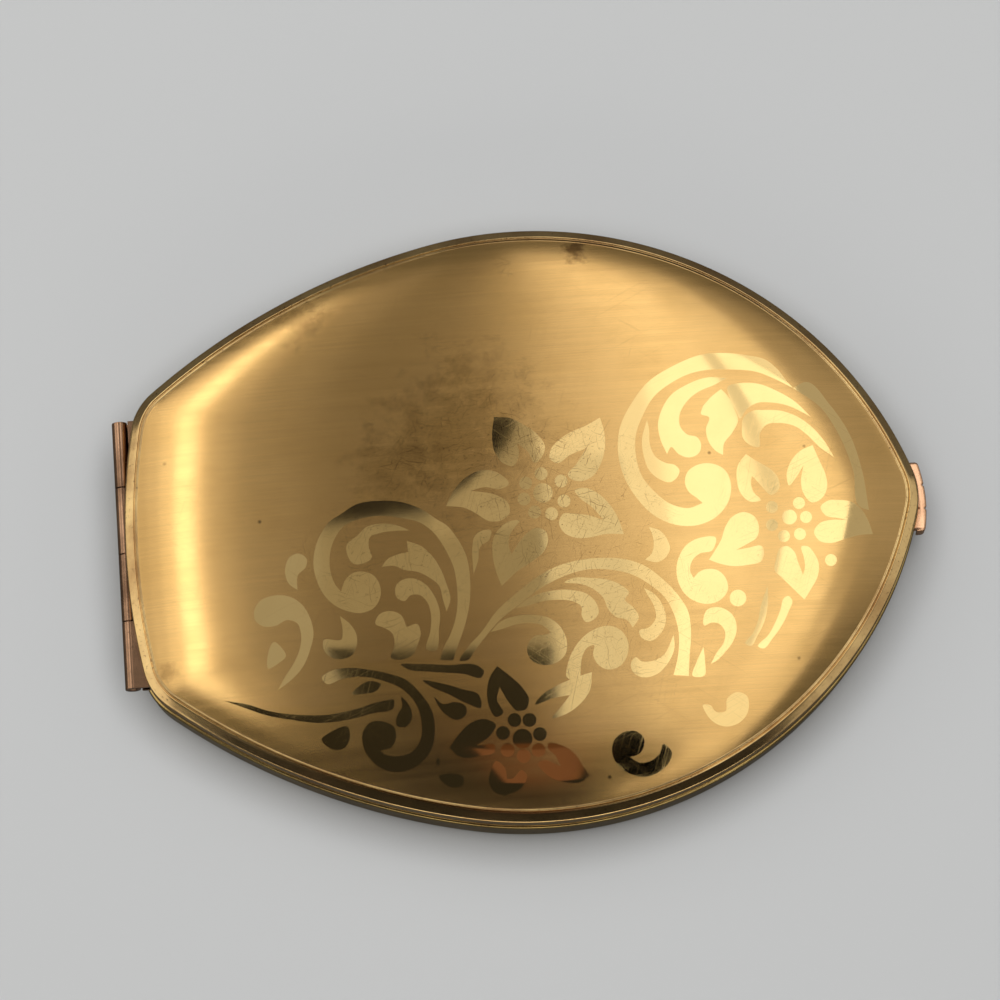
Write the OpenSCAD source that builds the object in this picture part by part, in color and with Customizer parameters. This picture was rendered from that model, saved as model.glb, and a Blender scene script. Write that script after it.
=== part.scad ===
// Lady's compact: a leaf-shaped brass case with a mirror in its lid, lying closed on its flat base.
// +X runs from the hinge to the tip, +Z is up, and the origin is on the underside at mid-length.

/* [Case outline] */
// Length of the lid, from its hinge end to its tip
case_l = 95.3; // [90:0.1:102]
// Greatest width of the lid
case_w = 73.9; // [71:0.1:77]
// Where the case is widest, as a share of its length from the hinge end
wide_place_share = 0.508; // [0.49:0.002:0.53]
// Radius of the tip
tip_r = 8.4; // [7:0.1:10]
// Radius of the short arc behind the widest place, as a share of that of an ellipse there
shoulder_share = 0.73; // [0.69:0.005:0.79]
// Angle that this arc turns through
shoulder_deg = 11.8; // [9:0.2:14]
// Radius of the long arc that runs on to the corner, as a share of the same ellipse's
flank_share = 1.308; // [1.25:0.002:1.37]
// Radius of the two corners at the hinge end
corner_r = 7.6; // [7:0.1:9]
// Radius of the bow across the hinge end
end_bow_r = 82; // [74:0.5:92]

/* [Shells] */
// Thickness of the brass sheet
sheet_t = 0.5; // [0.4:0.02:0.6]
// Height of the base, from its underside to its top edge
base_h = 5.9; // [5.7:0.05:6.6]
// Slit between the edges of the base and the lid
seam = 0.1; // [0.06:0.01:0.16]
// How far the base's edge bead stands out past the lid
bead_proud = 0.25; // [0.15:0.01:0.35]
// Height of the base's edge bead
bead_h = 0.75; // [0.6:0.01:0.9]
// Radius of the roll at the foot of the base
foot_r = 1.6; // [1.2:0.05:2]
// Height of the lid's upright skirt
skirt_h = 1.8; // [1.6:0.05:2.2]
// Width of the lid's rounded flange
flange_w = 1.1; // [0.95:0.01:1.25]
// Rise of the lid's rounded flange
flange_h = 0.8; // [0.65:0.01:0.95]
// Width of the thin bead between the flange and the panel
line_w = 0.5; // [0.4:0.01:0.6]
// Height of this bead above the grooves beside it
line_h = 0.16; // [0.1:0.01:0.22]
// Rise of the domed panel
dome_h = 3; // [2.8:0.05:3.4]
// Share of the dome's rise that is an even crown, and not the roll near its edge
crown_share = 0.52; // [0.4:0.01:0.6]

/* [Hinge] */
// Length of the barrel
barrel_l = 33.4; // [30:0.1:35]
// Diameter of the barrel
barrel_d = 1.85; // [1.75:0.01:1.95]
// How far the barrel's axis lies outside the lid's end
barrel_out = 0.1; // [0.05:0.01:0.2]
// Diameter of the hinge pin
pin_d = 0.8; // [0.7:0.01:0.86]
// Clearance round the pin
pin_fit = 0.04; // [0.03:0.005:0.06]
// Slit between neighbouring knuckles
knuckle_gap = 0.12; // [0.08:0.01:0.2]
// Thickness of the hinge's leaves
leaf_t = 0.4; // [0.34:0.01:0.42]
// How far the leaves reach in from the barrel's axis
leaf_reach = 5.2; // [4.6:0.1:5.8]

/* [Mirror] */
// Thickness of the mirror glass
glass_t = 1.3; // [1.1:0.02:1.4]
// From the lid's edge to the glass's edge
glass_inset = 4.4; // [4.2:0.05:4.8]
// Thickness of the card behind the glass
card_t = 0.2; // [0.15:0.01:0.25]
// Thickness of the bezel and of the other inner pressings
plate_t = 0.4; // [0.34:0.01:0.44]
// How far the bezel laps over the glass
bezel_lap = 1.1; // [0.8:0.05:1.4]
// Length of the bay kept free behind the tip for the catch
catch_bay = 6.6; // [6:0.1:7.6]

/* [Powder well] */
// Width of the well as a share of the case's length
well_size_share = 0.567; // [0.54:0.001:0.578]
// Place of the well's centre as a share of the case's length, from the hinge end
well_place_share = 0.488; // [0.484:0.001:0.498]
// Gap under the well's floor
well_lift = 0.3; // [0.2:0.01:0.4]
// Width of the well's lip
lip_w = 1.1; // [0.9:0.05:1.3]
// Height of the sifter above the well's floor
sifter_rise = 1.1; // [0.9:0.05:1.2]
// Height of the sifter's frame
sifter_h = 0.7; // [0.6:0.01:0.8]
// Diameter of a hole in the sifter's screen
sift_hole_d = 1.3; // [1:0.05:1.6]
// Thickness of the powder puff
puff_t = 2.4; // [2:0.02:2.5]
// Width of the ribbon across the puff
ribbon_w = 10; // [8:0.1:13]
// Thickness of the ribbon
ribbon_t = 0.16; // [0.12:0.01:0.2]

/* [Inner door] */
// How far the door laps past the well's lip
door_lap = 0.4; // [0.2:0.02:0.6]
// Height of the door's pressed centre
door_press = 0.3; // [0.2:0.01:0.36]
// Length of the door's hinge
door_hinge_l = 14; // [11:0.1:18]
// Outer diameter of the door's knuckles
door_barrel_d = 1.24; // [1.1:0.01:1.3]
// Diameter of the door's pin
door_pin_d = 0.6; // [0.5:0.01:0.66]
// Width of the door's finger tab
finger_w = 9; // [7:0.1:12]
// Reach of the door's finger tab
finger_l = 3; // [2.4:0.1:3.6]

/* [Catch] */
// Width of the thumb piece
thumb_w = 8.7; // [7.8:0.1:9.4]
// How far the thumb piece stands out from the tip
thumb_out = 1.24; // [1.1:0.02:1.5]
// Height of the thumb piece
thumb_h = 2.2; // [1.8:0.05:2.4]
// Travel of the catch
travel = 0.5; // [0.4:0.01:0.56]
// How far the hook bites over the lid's lip
bite = 0.3; // [0.24:0.01:0.34]
// Width of the sliding tongue
tongue_w = 5; // [4.4:0.05:5.4]
// Thickness of the sliding tongue
tongue_t = 0.5; // [0.4:0.01:0.54]
// Length of the sliding tongue inside the base
tongue_l = 8.2; // [7.6:0.1:9]

/* [Hidden] */

$fn = 96;

// Fits and small details
snug = 0.06; // between pieces that sit in one another and don't move
slide_fit = 0.12; // round a sliding piece
past = 1; // a cut's overrun past the face that it opens
leaf_set = 0.05; // the leaves lie this far inside the barrel's tangent
dome_power = 10; // how tightly the panel rolls over near its edge

// Segments along each arc of half the outline: tip, side, shoulder, flank, corner, end bow
arc_steps = [3, 22, 4, 11, 6, 5];

// Heights
lid_z = base_h + seam; // the lid's lower edge
hinge_z = base_h + seam / 2;
flange_z = lid_z + skirt_h; // where the flange starts to roll in
panel_z = flange_z + flange_h; // the panel's edge
top_z = panel_z + dome_h;
deck_top = hinge_z - barrel_d / 2 + leaf_set; // the base's hinge leaf lies on the deck
deck_z = deck_top - plate_t;
bezel_z = hinge_z + barrel_d / 2 - leaf_set; // the lid's hinge leaf lies under the bezel
glass_z = bezel_z + plate_t;
card_z = glass_z + glass_t;

// Places along X
end_x = -case_l / 2;
tip_x = case_l / 2;
hinge_x = end_x - barrel_out;
well_r = case_l * well_size_share / 2;
well_x = end_x + case_l * well_place_share;

// Arc centres of half the outline, each on the line where two arcs meet
half_w = case_w / 2;
wide_x = end_x + case_l * wide_place_share;
tip_c = [tip_x - tip_r, 0];
tip_run = tip_c.x - wide_x;
side_r = (tip_run * tip_run + half_w * half_w - tip_r * tip_r) / (2 * (half_w - tip_r));
side_c = [wide_x, half_w - side_r];
ellipse_r = pow(wide_x - end_x, 2) / half_w;
shoulder_r = ellipse_r * shoulder_share;
flank_r = ellipse_r * flank_share;
shoulder_c = [wide_x, half_w - shoulder_r];
flank_c = shoulder_c + (shoulder_r - flank_r) * [-sin(shoulder_deg), cos(shoulder_deg)];
bow_c = [end_x + end_bow_r, 0];
corner_c = meet(flank_c, flank_r - corner_r, bow_c, end_bow_r - corner_r);
side_deg = turn(side_c, tip_c);
flank_deg = turn(flank_c, corner_c);
corner_deg = turn(bow_c, corner_c);

// Angle from +Y, clockwise, of the line from one point to another
function turn(from, to) = atan2(to.x - from.x, to.y - from.y);

// The point at distance ra from a and rb from b, on the left of the way from a to b
function meet(a, ra, b, rb) =
    let (d = norm(b - a), e = (b - a) / d)
    let (k = (ra * ra - rb * rb + d * d) / (2 * d), h = sqrt(ra * ra - k * k))
    a + k * e + h * [-e.y, e.x];

// Points of an arc, without its last one
function arc(c, r, from, to, n) =
    [for (i = [0:n - 1]) let (a = from + (to - from) * i / n) c + r * [sin(a), cos(a)]];

// Half the outline, grown by d, from the tip to the hinge end
function half_outline(d) = concat(
    arc(tip_c, tip_r + d, 90, side_deg, arc_steps[0]),
    arc(side_c, side_r + d, side_deg, 0, arc_steps[1]),
    arc(shoulder_c, shoulder_r + d, 0, -shoulder_deg, arc_steps[2]),
    arc(flank_c, flank_r + d, -shoulder_deg, flank_deg, arc_steps[3]),
    arc(corner_c, corner_r + d, flank_deg, corner_deg, arc_steps[4]),
    arc(bow_c, end_bow_r + d, corner_deg, -90, arc_steps[5])
);

// The whole outline, grown by d, anticlockwise from the tip
function outline(d) =
    let (h = half_outline(d), n = len(h))
    concat(h, [[end_x - d, 0]], [for (i = [n - 1:-1:1]) [h[i].x, -h[i].y]]);

// The outline at height z, drawn in by inset
function ring(inset, z) = [for (p = outline(-inset)) [p.x, p.y, z]];

// The outline drawn in by inset, then shrunk to a share of its size about the middle of the case
function inner_ring(inset, share, z) = [for (p = outline(-inset)) [p.x * share, p.y * share, z]];

// Height of the panel at a share of the way from its middle to its edge
function dome(share) =
    dome_h * (crown_share * (1 - pow(share, 2)) + (1 - crown_share) * (1 - pow(share, dome_power)));

// A closed skin through rings of points, with a middle point at either end
module skin(first, rings, last) {
    n = len(rings[0]);
    points = concat([first], [for (r = rings) each r], [last]);
    function at(i, j) = 1 + i * n + j % n;
    bands = [for (i = [0:len(rings) - 2], j = [0:n - 1]) each [
        [at(i, j), at(i, j + 1), at(i + 1, j + 1)],
        [at(i, j), at(i + 1, j + 1), at(i + 1, j)]
    ]];
    caps = [for (j = [0:n - 1]) each [
        [0, at(0, j + 1), at(0, j)],
        [len(points) - 1, at(len(rings) - 1, j), at(len(rings) - 1, j + 1)]
    ]];
    polyhedron(points, concat(bands, caps));
}

// A flat plate of the outline, drawn in by inset
module slab(inset, z, h) {
    translate([0, 0, z]) linear_extrude(h) polygon(outline(-inset));
}

// A band between two insets of the outline
module band(outer, inner, z, h) {
    translate([0, 0, z]) linear_extrude(h) difference() {
        polygon(outline(-outer));
        polygon(outline(-inner));
    }
}

// A box with one corner at p and the size s
module box(p, s) {
    translate(p) cube(s);
}

// A box centred on Y, from x0 to x1 and z0 to z1
module bar(x0, x1, w, z0, z1) {
    box([x0, -w / 2, z0], [x1 - x0, w, z1 - z0]);
}

// A rod along Y, centred on y
module rod(x, y, z, d, l) {
    translate([x, y - l / 2, z]) rotate([-90, 0, 0]) cylinder(h = l, d = d);
}

// Flange, thin bead and domed panel: insets and heights from the skirt's top to the panel's edge
roll_steps = 4;
line_depth_share = 0.6; // of the thin bead's height, how deep its grooves lie below the flange
flange_rings = [for (i = [0:roll_steps]) let (a = 90 * i / roll_steps)
    ring(flange_w * (1 - cos(a)), flange_z + flange_h * sin(a))];
groove_z = panel_z - line_h * line_depth_share;
line_rings = [
    ring(flange_w + line_w / 4, groove_z),
    ring(flange_w + line_w / 2, groove_z + line_h),
    ring(flange_w + line_w * 3 / 4, groove_z)
];
panel_inset = flange_w + line_w;
panel_shares = [1, 0.985, 0.965, 0.935, 0.895, 0.84, 0.76, 0.65, 0.5, 0.33, 0.16];
under_shares = [1, 0.94, 0.86, 0.74, 0.56, 0.3];
sheet_drop = sheet_t * 1.1; // the sheet's thickness along Z, where the panel slopes

// The gap in both walls where the barrel and its leaves pass
module hinge_gap() {
    reach = barrel_d / 2 + slide_fit;
    bar(hinge_x - past, hinge_x + leaf_reach, barrel_l + 2 * knuckle_gap, hinge_z - reach, hinge_z + reach);
}

// The lid: skirt, rolled flange, thin bead and domed panel, stamped from one sheet
module lid_shell() {
    outer = concat(
        [for (i = [len(panel_shares) - 1:-1:0])
            inner_ring(panel_inset, panel_shares[i], panel_z + dome(panel_shares[i]))],
        [for (i = [len(line_rings) - 1:-1:0]) line_rings[i]],
        [for (i = [roll_steps:-1:0]) flange_rings[i]],
        [ring(0, lid_z)]
    );
    inner = concat(
        [ring(sheet_t, lid_z), ring(sheet_t, flange_z)],
        [ring(flange_w * 0.65, panel_z - sheet_drop)],
        [for (s = under_shares) inner_ring(panel_inset, s, panel_z - sheet_drop + dome(s))]
    );
    color("goldenrod") difference() {
        skin([0, 0, top_z], concat(outer, inner), [0, 0, top_z - sheet_drop]);
        hinge_gap();
    }
}

// Frame that holds the mirror, snapped into the skirt and cut off short at the tip: an edge wall,
// a flange under the glass and a rail round it
bezel_inset = sheet_t + snug;
bay_x = tip_x - catch_bay;
rail_h = 0.8; // height of the rail round the glass
module mirror_bezel() {
    color("gold") intersection() {
        union() {
            band(bezel_inset, glass_inset + bezel_lap, bezel_z, plate_t);
            band(bezel_inset, bezel_inset + plate_t, bezel_z, flange_z - bezel_z);
            band(glass_inset - snug - plate_t, glass_inset - snug, bezel_z, plate_t + rail_h);
            bar(bay_x - bezel_lap - plate_t, bay_x, case_w, bezel_z, glass_z);
            bar(bay_x - plate_t, bay_x, 2 * bay_half_w(), bezel_z, glass_z + rail_h);
        }
        translate([0, 0, bezel_z]) linear_extrude(dome_h) intersection() {
            polygon(outline(-bezel_inset));
            translate([end_x, -half_w]) square([bay_x - end_x, case_w]);
        }
    }
}

// Half the width of the glass where the bay cuts it off
function bay_half_w() = let (r = side_r - glass_inset, x = bay_x - side_c.x) side_c.y + sqrt(r * r - x * x);

// Plan of the mirror, cut off straight at the catch's bay
module mirror_plan(inset) {
    intersection() {
        polygon(outline(-inset));
        translate([end_x, -half_w]) square([bay_x - plate_t - snug - end_x, case_w]);
    }
}

// The mirror glass
module mirror_glass() {
    color("lightcyan") translate([0, 0, glass_z]) linear_extrude(glass_t) mirror_plan(glass_inset);
}

// Card between the glass and the lid
module mirror_backing() {
    color("tan") translate([0, 0, card_z]) linear_extrude(card_t) mirror_plan(glass_inset + plate_t);
}

// The catch, from the lip on the lid down to the tongue
lip_reach = 1.4; // the lid's lip, in from its upright
nose_t = 0.5; // thickness of the hook's nose
hook_t = 0.5; // thickness of the hook's shank and foot
hook_w = 3.6; // width of the hook
hook_foot = 2.2; // length of its foot, behind the shank
rivet_d = 1;
head_d = 1.7;
head_t = 0.2;
spring_l = 2.5; // length of the bowed spring at rest
strip_t = 0.25; // thickness of its strip
lip_x = tip_x - sheet_t - leaf_t - lip_reach; // the lip's free edge
lip_z = lid_z + 2 * slide_fit;
nose_z = lip_z + leaf_t + slide_fit;
hook_x = lip_x - 2 * slide_fit; // front face of the shank
hook_back = hook_x - hook_t - hook_foot;
hook_rivet_x = hook_back + hook_foot / 2;
tongue_top = deck_z - slide_fit;
tongue_z = tongue_top - tongue_t;
tail_x = tip_x - sheet_t - tongue_l;
stem_w = tongue_w * 0.76;
thumb_gap = travel + slide_fit; // from the base's wall to the thumb piece
thumb_top = base_h - bead_h - slide_fit;
guide_x0 = tail_x - spring_l - plate_t;
guide_x1 = hook_rivet_x - head_d / 2 - travel - 2 * slide_fit;
guide_in = tongue_w / 2 + slide_fit; // from the middle to a side wall's inner face
guide_rivet_x = (guide_x0 + guide_x1) / 2;
guide_rivet_y = guide_in + plate_t + head_d / 2 + slide_fit;

// A rivet on +Z, with its shank from z0 to z1 and a head at either end
module rivet(x, y, z0, z1) {
    flat_r = head_d / 3;
    color("peru") translate([x, y, 0]) rotate_extrude() polygon([
        [0, z0 - head_t], [flat_r, z0 - head_t], [head_d / 2, z0], [rivet_d / 2, z0],
        [rivet_d / 2, z1], [head_d / 2, z1], [flat_r, z1 + head_t], [0, z1 + head_t]
    ]);
}

// The hole for a rivet through a plate from z0 to z1
module rivet_hole(x, y, z0, z1) {
    translate([x, y, z0 - past]) cylinder(h = z1 - z0 + 2 * past, d = rivet_d);
}

// Lip bent from a strip inside the lid's tip, which the hook holds down
module lid_catch_lip() {
    color("gold") intersection() {
        union() {
            band(sheet_t, sheet_t + leaf_t, lip_z, flange_z - lip_z);
            slab(sheet_t, lip_z, leaf_t);
        }
        bar(lip_x, tip_x, hook_w + 2 * plate_t, lip_z, flange_z);
    }
}

// Four knuckles: the lid's leaf and the base's leaf carry every second one
knuckles = 4;
knuckle_pitch = barrel_l / knuckles;
knuckle_l = knuckle_pitch - knuckle_gap;
function knuckle_y(i) = barrel_l / 2 - knuckle_pitch * (i + 0.5);

// A leaf at height z with its knuckles, counted from +Y, bored for the pin
module hinge_leaf(first, z) {
    difference() {
        union() {
            bar(
                hinge_x + barrel_d / 2 + slide_fit, hinge_x + leaf_reach, barrel_l - knuckle_gap,
                z, z + leaf_t
            );
            for (i = [first:2:knuckles - 1]) {
                rod(hinge_x, knuckle_y(i), hinge_z, barrel_d, knuckle_l);
                box([hinge_x, knuckle_y(i) - knuckle_l / 2, z], [barrel_d, knuckle_l, leaf_t]);
            }
        }
        rod(hinge_x, 0, hinge_z, pin_d + 2 * pin_fit, barrel_l + past);
    }
}

// Leaf soldered under the bezel, with the second and fourth knuckles
module lid_hinge_leaf() {
    color("darkgoldenrod") hinge_leaf(1, bezel_z - leaf_t);
}

// Leaf soldered on the deck, with the first and third knuckles
module base_hinge_leaf() {
    color("darkgoldenrod") hinge_leaf(0, deck_top);
}

// The pin through the four knuckles
module hinge_pin() {
    color("peru") rod(hinge_x, 0, hinge_z, pin_d, barrel_l - knuckle_gap);
}

// The slot for the catch's stem, through the base's wall and the deck's skirt
module stem_slot() {
    bar(tip_x - foot_r, tip_x + past, stem_w + 2 * slide_fit, tongue_z - slide_fit, deck_z);
}

// The base: flat underside, rolled foot, wall and edge bead, with slots for the hinge and the catch
module base_shell() {
    foot_in = foot_r - sheet_t;
    foot_steps = 4;
    inner = concat(
        [for (i = [0:foot_steps - 1]) let (a = 90 * i / (foot_steps - 1))
            ring(sheet_t + foot_in * (1 - sin(a)), sheet_t + foot_in * (1 - cos(a)))],
        [ring(sheet_t, base_h)]
    );
    outer = concat(
        [for (i = [0:4]) let (a = 180 * i / 4)
            ring(-bead_proud * sin(a), base_h - bead_h * (1 - cos(a)) / 2)],
        [for (i = [0:foot_steps]) let (a = 90 * i / foot_steps)
            ring(foot_r * (1 - cos(a)), foot_r * (1 - sin(a)))]
    );
    color("goldenrod") difference() {
        skin([0, 0, sheet_t], concat(inner, outer), [0, 0, 0]);
        hinge_gap();
        stem_slot();
    }
}

// Pressed deck that stiffens the base and carries the well, the door and the catch
deck_skirt = 1.6; // height of its turned-down edge
deck_hole_r = well_r + plate_t + snug;
module deck_plate() {
    color("gold") difference() {
        union() {
            slab(sheet_t, deck_z, plate_t);
            band(sheet_t, sheet_t + plate_t, deck_z - deck_skirt, deck_skirt);
        }
        translate([well_x, 0, deck_z - past]) cylinder(h = plate_t + 2 * past, r = deck_hole_r);
        bar(
            hook_back - travel - slide_fit, hook_x + slide_fit, hook_w + 2 * slide_fit,
            deck_z - past, deck_top + past
        );
        stem_slot();
        for (s = [-1, 1]) rivet_hole(guide_rivet_x, s * guide_rivet_y, deck_z, deck_top);
    }
}

// Round cup for the powder, hung by its lip from the deck
well_z = sheet_t + well_lift;
lip_top = deck_top + plate_t;
module powder_well() {
    out_r = well_r + plate_t;
    rim_r = out_r + lip_w;
    color("gold") translate([well_x, 0, 0]) rotate_extrude() polygon([
        [0, well_z], [well_r, well_z], [out_r, well_z + plate_t], [out_r, deck_top],
        [rim_r - plate_t / 2, deck_top], [rim_r, deck_top + plate_t / 2],
        [rim_r - plate_t / 2, lip_top], [well_r, lip_top],
        [well_r, well_z + plate_t], [0, well_z + plate_t]
    ]);
}

// Ring that grips the wall of the well and carries the screen
sifter_z = well_z + plate_t + sifter_rise;
sifter_r = well_r - snug;
screen_t = 0.2;
screen_r = sifter_r - plate_t;
module sifter_frame() {
    ledge_r = screen_r - 2 * plate_t;
    wall_r = screen_r + snug;
    color("gold") translate([well_x, 0, sifter_z]) rotate_extrude() polygon([
        [ledge_r, 0], [sifter_r, 0], [sifter_r, sifter_h],
        [wall_r, sifter_h], [wall_r, screen_t], [ledge_r, screen_t]
    ]);
}

// Screen with rows of holes that lies in the ring
sift_rows = 4;
module sifter_screen() {
    row = screen_r / (sift_rows + 1);
    color("lightgray") translate([well_x, 0, sifter_z + screen_t]) difference() {
        cylinder(h = screen_t, r = screen_r);
        translate([0, 0, -past]) cylinder(h = screen_t + 2 * past, d = sift_hole_d);
        for (k = [1:sift_rows], i = [0:6 * k - 1])
            rotate(60 * i / k) translate([row * k, 0, -past])
                cylinder(h = screen_t + 2 * past, d = sift_hole_d);
    }
}

// Velour puff: a crowned disc whose side draws in at its seam
puff_z = sifter_z + 2 * screen_t + snug;
puff_top = puff_z + puff_t;
puff_r = screen_r - 4 * snug;
module powder_puff() {
    crown_shares = [0, 0.25, 0.5, 0.7, 0.84, 0.93, 0.98, 1];
    function swell(s) = puff_t / 2 * sqrt(1 - pow(s, 6));
    color("mistyrose") translate([well_x, 0, puff_z + puff_t / 2]) rotate_extrude() polygon(concat(
        [for (s = crown_shares) [puff_r * s, -swell(s)]],
        [for (i = [len(crown_shares) - 2:-1:0]) let (s = crown_shares[i]) [puff_r * s, swell(s)]]
    ));
}

// Satin band stitched across the back of the puff
module puff_ribbon() {
    half_l = puff_r * 0.8;
    color("pink") bar(well_x - half_l, well_x + half_l, ribbon_w, puff_top, puff_top + ribbon_t);
}

// The inner door's hinge, with room on the pin for its spring
door_flat = 3.2; // width of the door's flat edge
bracket_l = 2.4; // length of the bracket's foot, behind the barrel
bracket_edge = 0.9; // width of the strip along the foot's back
foot_t = plate_t * 3 / 4;
wire_d = 0.2;
coil_turns = 3;
coil_pitch = 0.26;
coil_room = coil_turns * coil_pitch + 2 * wire_d;
door_z = lip_top + 2 * snug; // the door's underside
door_r = well_r + plate_t + lip_w + door_lap;
door_axis_x = well_x - door_r - door_barrel_d / 2 - slide_fit;
door_axis_z = deck_top + door_barrel_d / 2 + snug / 2;
door_pitch = door_hinge_l / 3;
door_knuckle_l = door_pitch - knuckle_gap;

// The bore through the door's knuckles
module door_bore() {
    rod(door_axis_x, 0, door_axis_z, door_pin_d + 2 * pin_fit, door_hinge_l + past);
}

// Hinged door over the well: pressed centre, flat edge, finger tab and one knuckle
module inner_door() {
    press_r = door_r - door_flat;
    t = plate_t;
    color("gold") difference() {
        union() {
            translate([well_x, 0, door_z]) rotate_extrude() polygon([
                [0, door_press], [press_r - door_press, door_press], [press_r, 0],
                [door_r - t / 2, 0], [door_r, t / 2], [door_r - t / 2, t],
                [press_r, t], [press_r - door_press, t + door_press], [0, t + door_press]
            ]);
            translate([well_x + door_r + finger_l - finger_w / 2, 0, door_z]) cylinder(h = t, d = finger_w);
            bar(door_axis_x, well_x - press_r - door_flat / 2, door_knuckle_l, door_z, door_z + t);
            rod(door_axis_x, 0, door_axis_z, door_barrel_d, door_knuckle_l);
        }
        door_bore();
    }
}

// Two knuckles on a foot that is soldered to the deck; the one at +Y is short, to leave room for the spring
module door_bracket() {
    x0 = door_axis_x - door_barrel_d / 2 - slide_fit - bracket_l;
    color("darkgoldenrod") difference() {
        union() {
            bar(x0, x0 + bracket_edge, door_hinge_l, deck_top, deck_top + foot_t);
            for (k = [[1, coil_room], [-1, 0]]) {
                l = door_knuckle_l - k[1];
                y = k[0] * (door_hinge_l - l) / 2;
                rod(door_axis_x, y, door_axis_z, door_barrel_d, l);
                box([x0, y - l / 2, deck_top], [door_axis_x - x0, l, foot_t]);
            }
        }
        door_bore();
    }
}

// The door's pin
module door_pin() {
    color("peru") rod(door_axis_x, 0, door_axis_z, door_pin_d, door_hinge_l - knuckle_gap);
}

// A round wire along points that stay nearly square to Y
module wire(path, d, sides) {
    n = len(path);
    function way(i) = path[min(i + 1, n - 1)] - path[max(i - 1, 0)];
    function across(i) = let (c = cross([0, 1, 0], way(i))) c / norm(c);
    rings = [for (i = [0:n - 1]) [for (j = [0:sides - 1]) let (a = 360 * j / sides)
        path[i] + d / 2 * (cos(a) * [0, 1, 0] + sin(a) * across(i))]];
    skin(path[0], rings, path[n - 1]);
}

// Torsion spring on the door's pin: one leg on the deck, one under the door's edge
module door_spring() {
    coil_r = door_pin_d / 2 + pin_fit + wire_d / 2 + slide_fit / 4;
    steps = 16;
    low = door_axis_z - coil_r;
    y0 = door_pitch / 2 + wire_d;
    y1 = y0 + coil_turns * coil_pitch;
    path = concat(
        [[door_axis_x - bracket_l * 3 / 4, y0, low]],
        [for (i = [0:coil_turns * steps]) let (a = 360 * i / steps)
            [door_axis_x + coil_r * sin(a), y0 + coil_pitch * i / steps, door_axis_z - coil_r * cos(a)]],
        [[door_axis_x + door_barrel_d * 3 / 4, y1, low + wire_d / 2]]
    );
    color("silver") wire(path, wire_d, 6);
}

// Copper-plated thumb piece, bent from the end of the tongue that slides under the deck
module thumb_piece() {
    thumb_z = thumb_top - thumb_h;
    groove_d = 0.5;
    pad_x = tip_x + thumb_out;
    color("sandybrown") difference() {
        union() {
            intersection() {
                band(-thumb_out, -thumb_gap, thumb_z, thumb_h);
                bar(tip_x - foot_r, pad_x, thumb_w, thumb_z, thumb_top);
            }
            bar(tip_x - foot_r, (tip_x + thumb_gap + pad_x) / 2, stem_w, tongue_z, tongue_top);
            bar(tail_x, tip_x - foot_r, tongue_w, tongue_z, tongue_top);
        }
        for (s = [-1, 1]) translate([pad_x, s * thumb_w / 6, thumb_z - past])
            cylinder(h = thumb_h + 2 * past, d = groove_d);
        rivet_hole(hook_rivet_x, 0, tongue_z, tongue_top);
    }
}

// Upright hook on a foot that is riveted to the tongue
module latch_hook() {
    foot_top = tongue_top + hook_t;
    color("silver") difference() {
        union() {
            bar(hook_back, hook_x, hook_w, tongue_top, foot_top);
            bar(hook_x - hook_t, hook_x, hook_w, tongue_top, nose_z + nose_t);
            bar(hook_x - hook_t, lip_x + bite, hook_w, nose_z, nose_z + nose_t);
        }
        rivet_hole(hook_rivet_x, 0, tongue_top, foot_top);
    }
}

// Rivet that holds the hook to the tongue
module hook_rivet() {
    rivet(hook_rivet_x, 0, tongue_z, tongue_top + hook_t);
}

// Channel under the deck in which the tongue slides, with a wall behind the spring
module catch_guide() {
    w = 2 * (guide_in + plate_t);
    wing_w = 2 * (guide_rivet_y + head_d / 2 + slide_fit);
    z0 = tongue_z - slide_fit - plate_t;
    color("silver") difference() {
        union() {
            bar(guide_x0, guide_x1, w, z0, deck_z);
            bar(guide_x0, guide_x1, wing_w, deck_z - plate_t, deck_z);
        }
        bar(guide_x0 + plate_t, guide_x1 + past, 2 * guide_in, z0 + plate_t, deck_z + past);
        for (s = [-1, 1]) rivet_hole(guide_rivet_x, s * guide_rivet_y, deck_z - plate_t, deck_z);
    }
}

// Rivets that hold the channel to the deck
module guide_rivets() {
    for (s = [-1, 1]) rivet(guide_rivet_x, s * guide_rivet_y, deck_z - plate_t, deck_top);
}

// A lens of two arcs about the origin, half_x by half_y to its tips, drawn in by inset
module lens(half_x, half_y, inset) {
    r = (half_x * half_x + half_y * half_y) / (2 * half_x);
    intersection() {
        translate([r - half_x, 0]) circle(r - inset);
        translate([half_x - r, 0]) circle(r - inset);
    }
}

// Bowed leaf spring between the tongue's tail and the channel's back wall
module catch_spring() {
    half_x = (spring_l - snug) / 2;
    half_y = tongue_w / 2 - slide_fit;
    color("silver") translate([tail_x - spring_l / 2, 0, tongue_z]) linear_extrude(tongue_t) difference() {
        lens(half_x, half_y, 0);
        lens(half_x, half_y, strip_t);
    }
}

lid_shell();
mirror_bezel();
mirror_glass();
mirror_backing();
lid_catch_lip();
lid_hinge_leaf();
hinge_pin();
base_hinge_leaf();
base_shell();
deck_plate();
powder_well();
sifter_frame();
sifter_screen();
powder_puff();
puff_ribbon();
door_bracket();
door_pin();
door_spring();
inner_door();
thumb_piece();
latch_hook();
hook_rivet();
catch_guide();
guide_rivets();
catch_spring();
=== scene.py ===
import bpy, bmesh
import numpy as np
from math import sin, cos, acos, pi, radians, degrees, atan2, sqrt, hypot
from mathutils import Vector, Matrix, geometry


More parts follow.
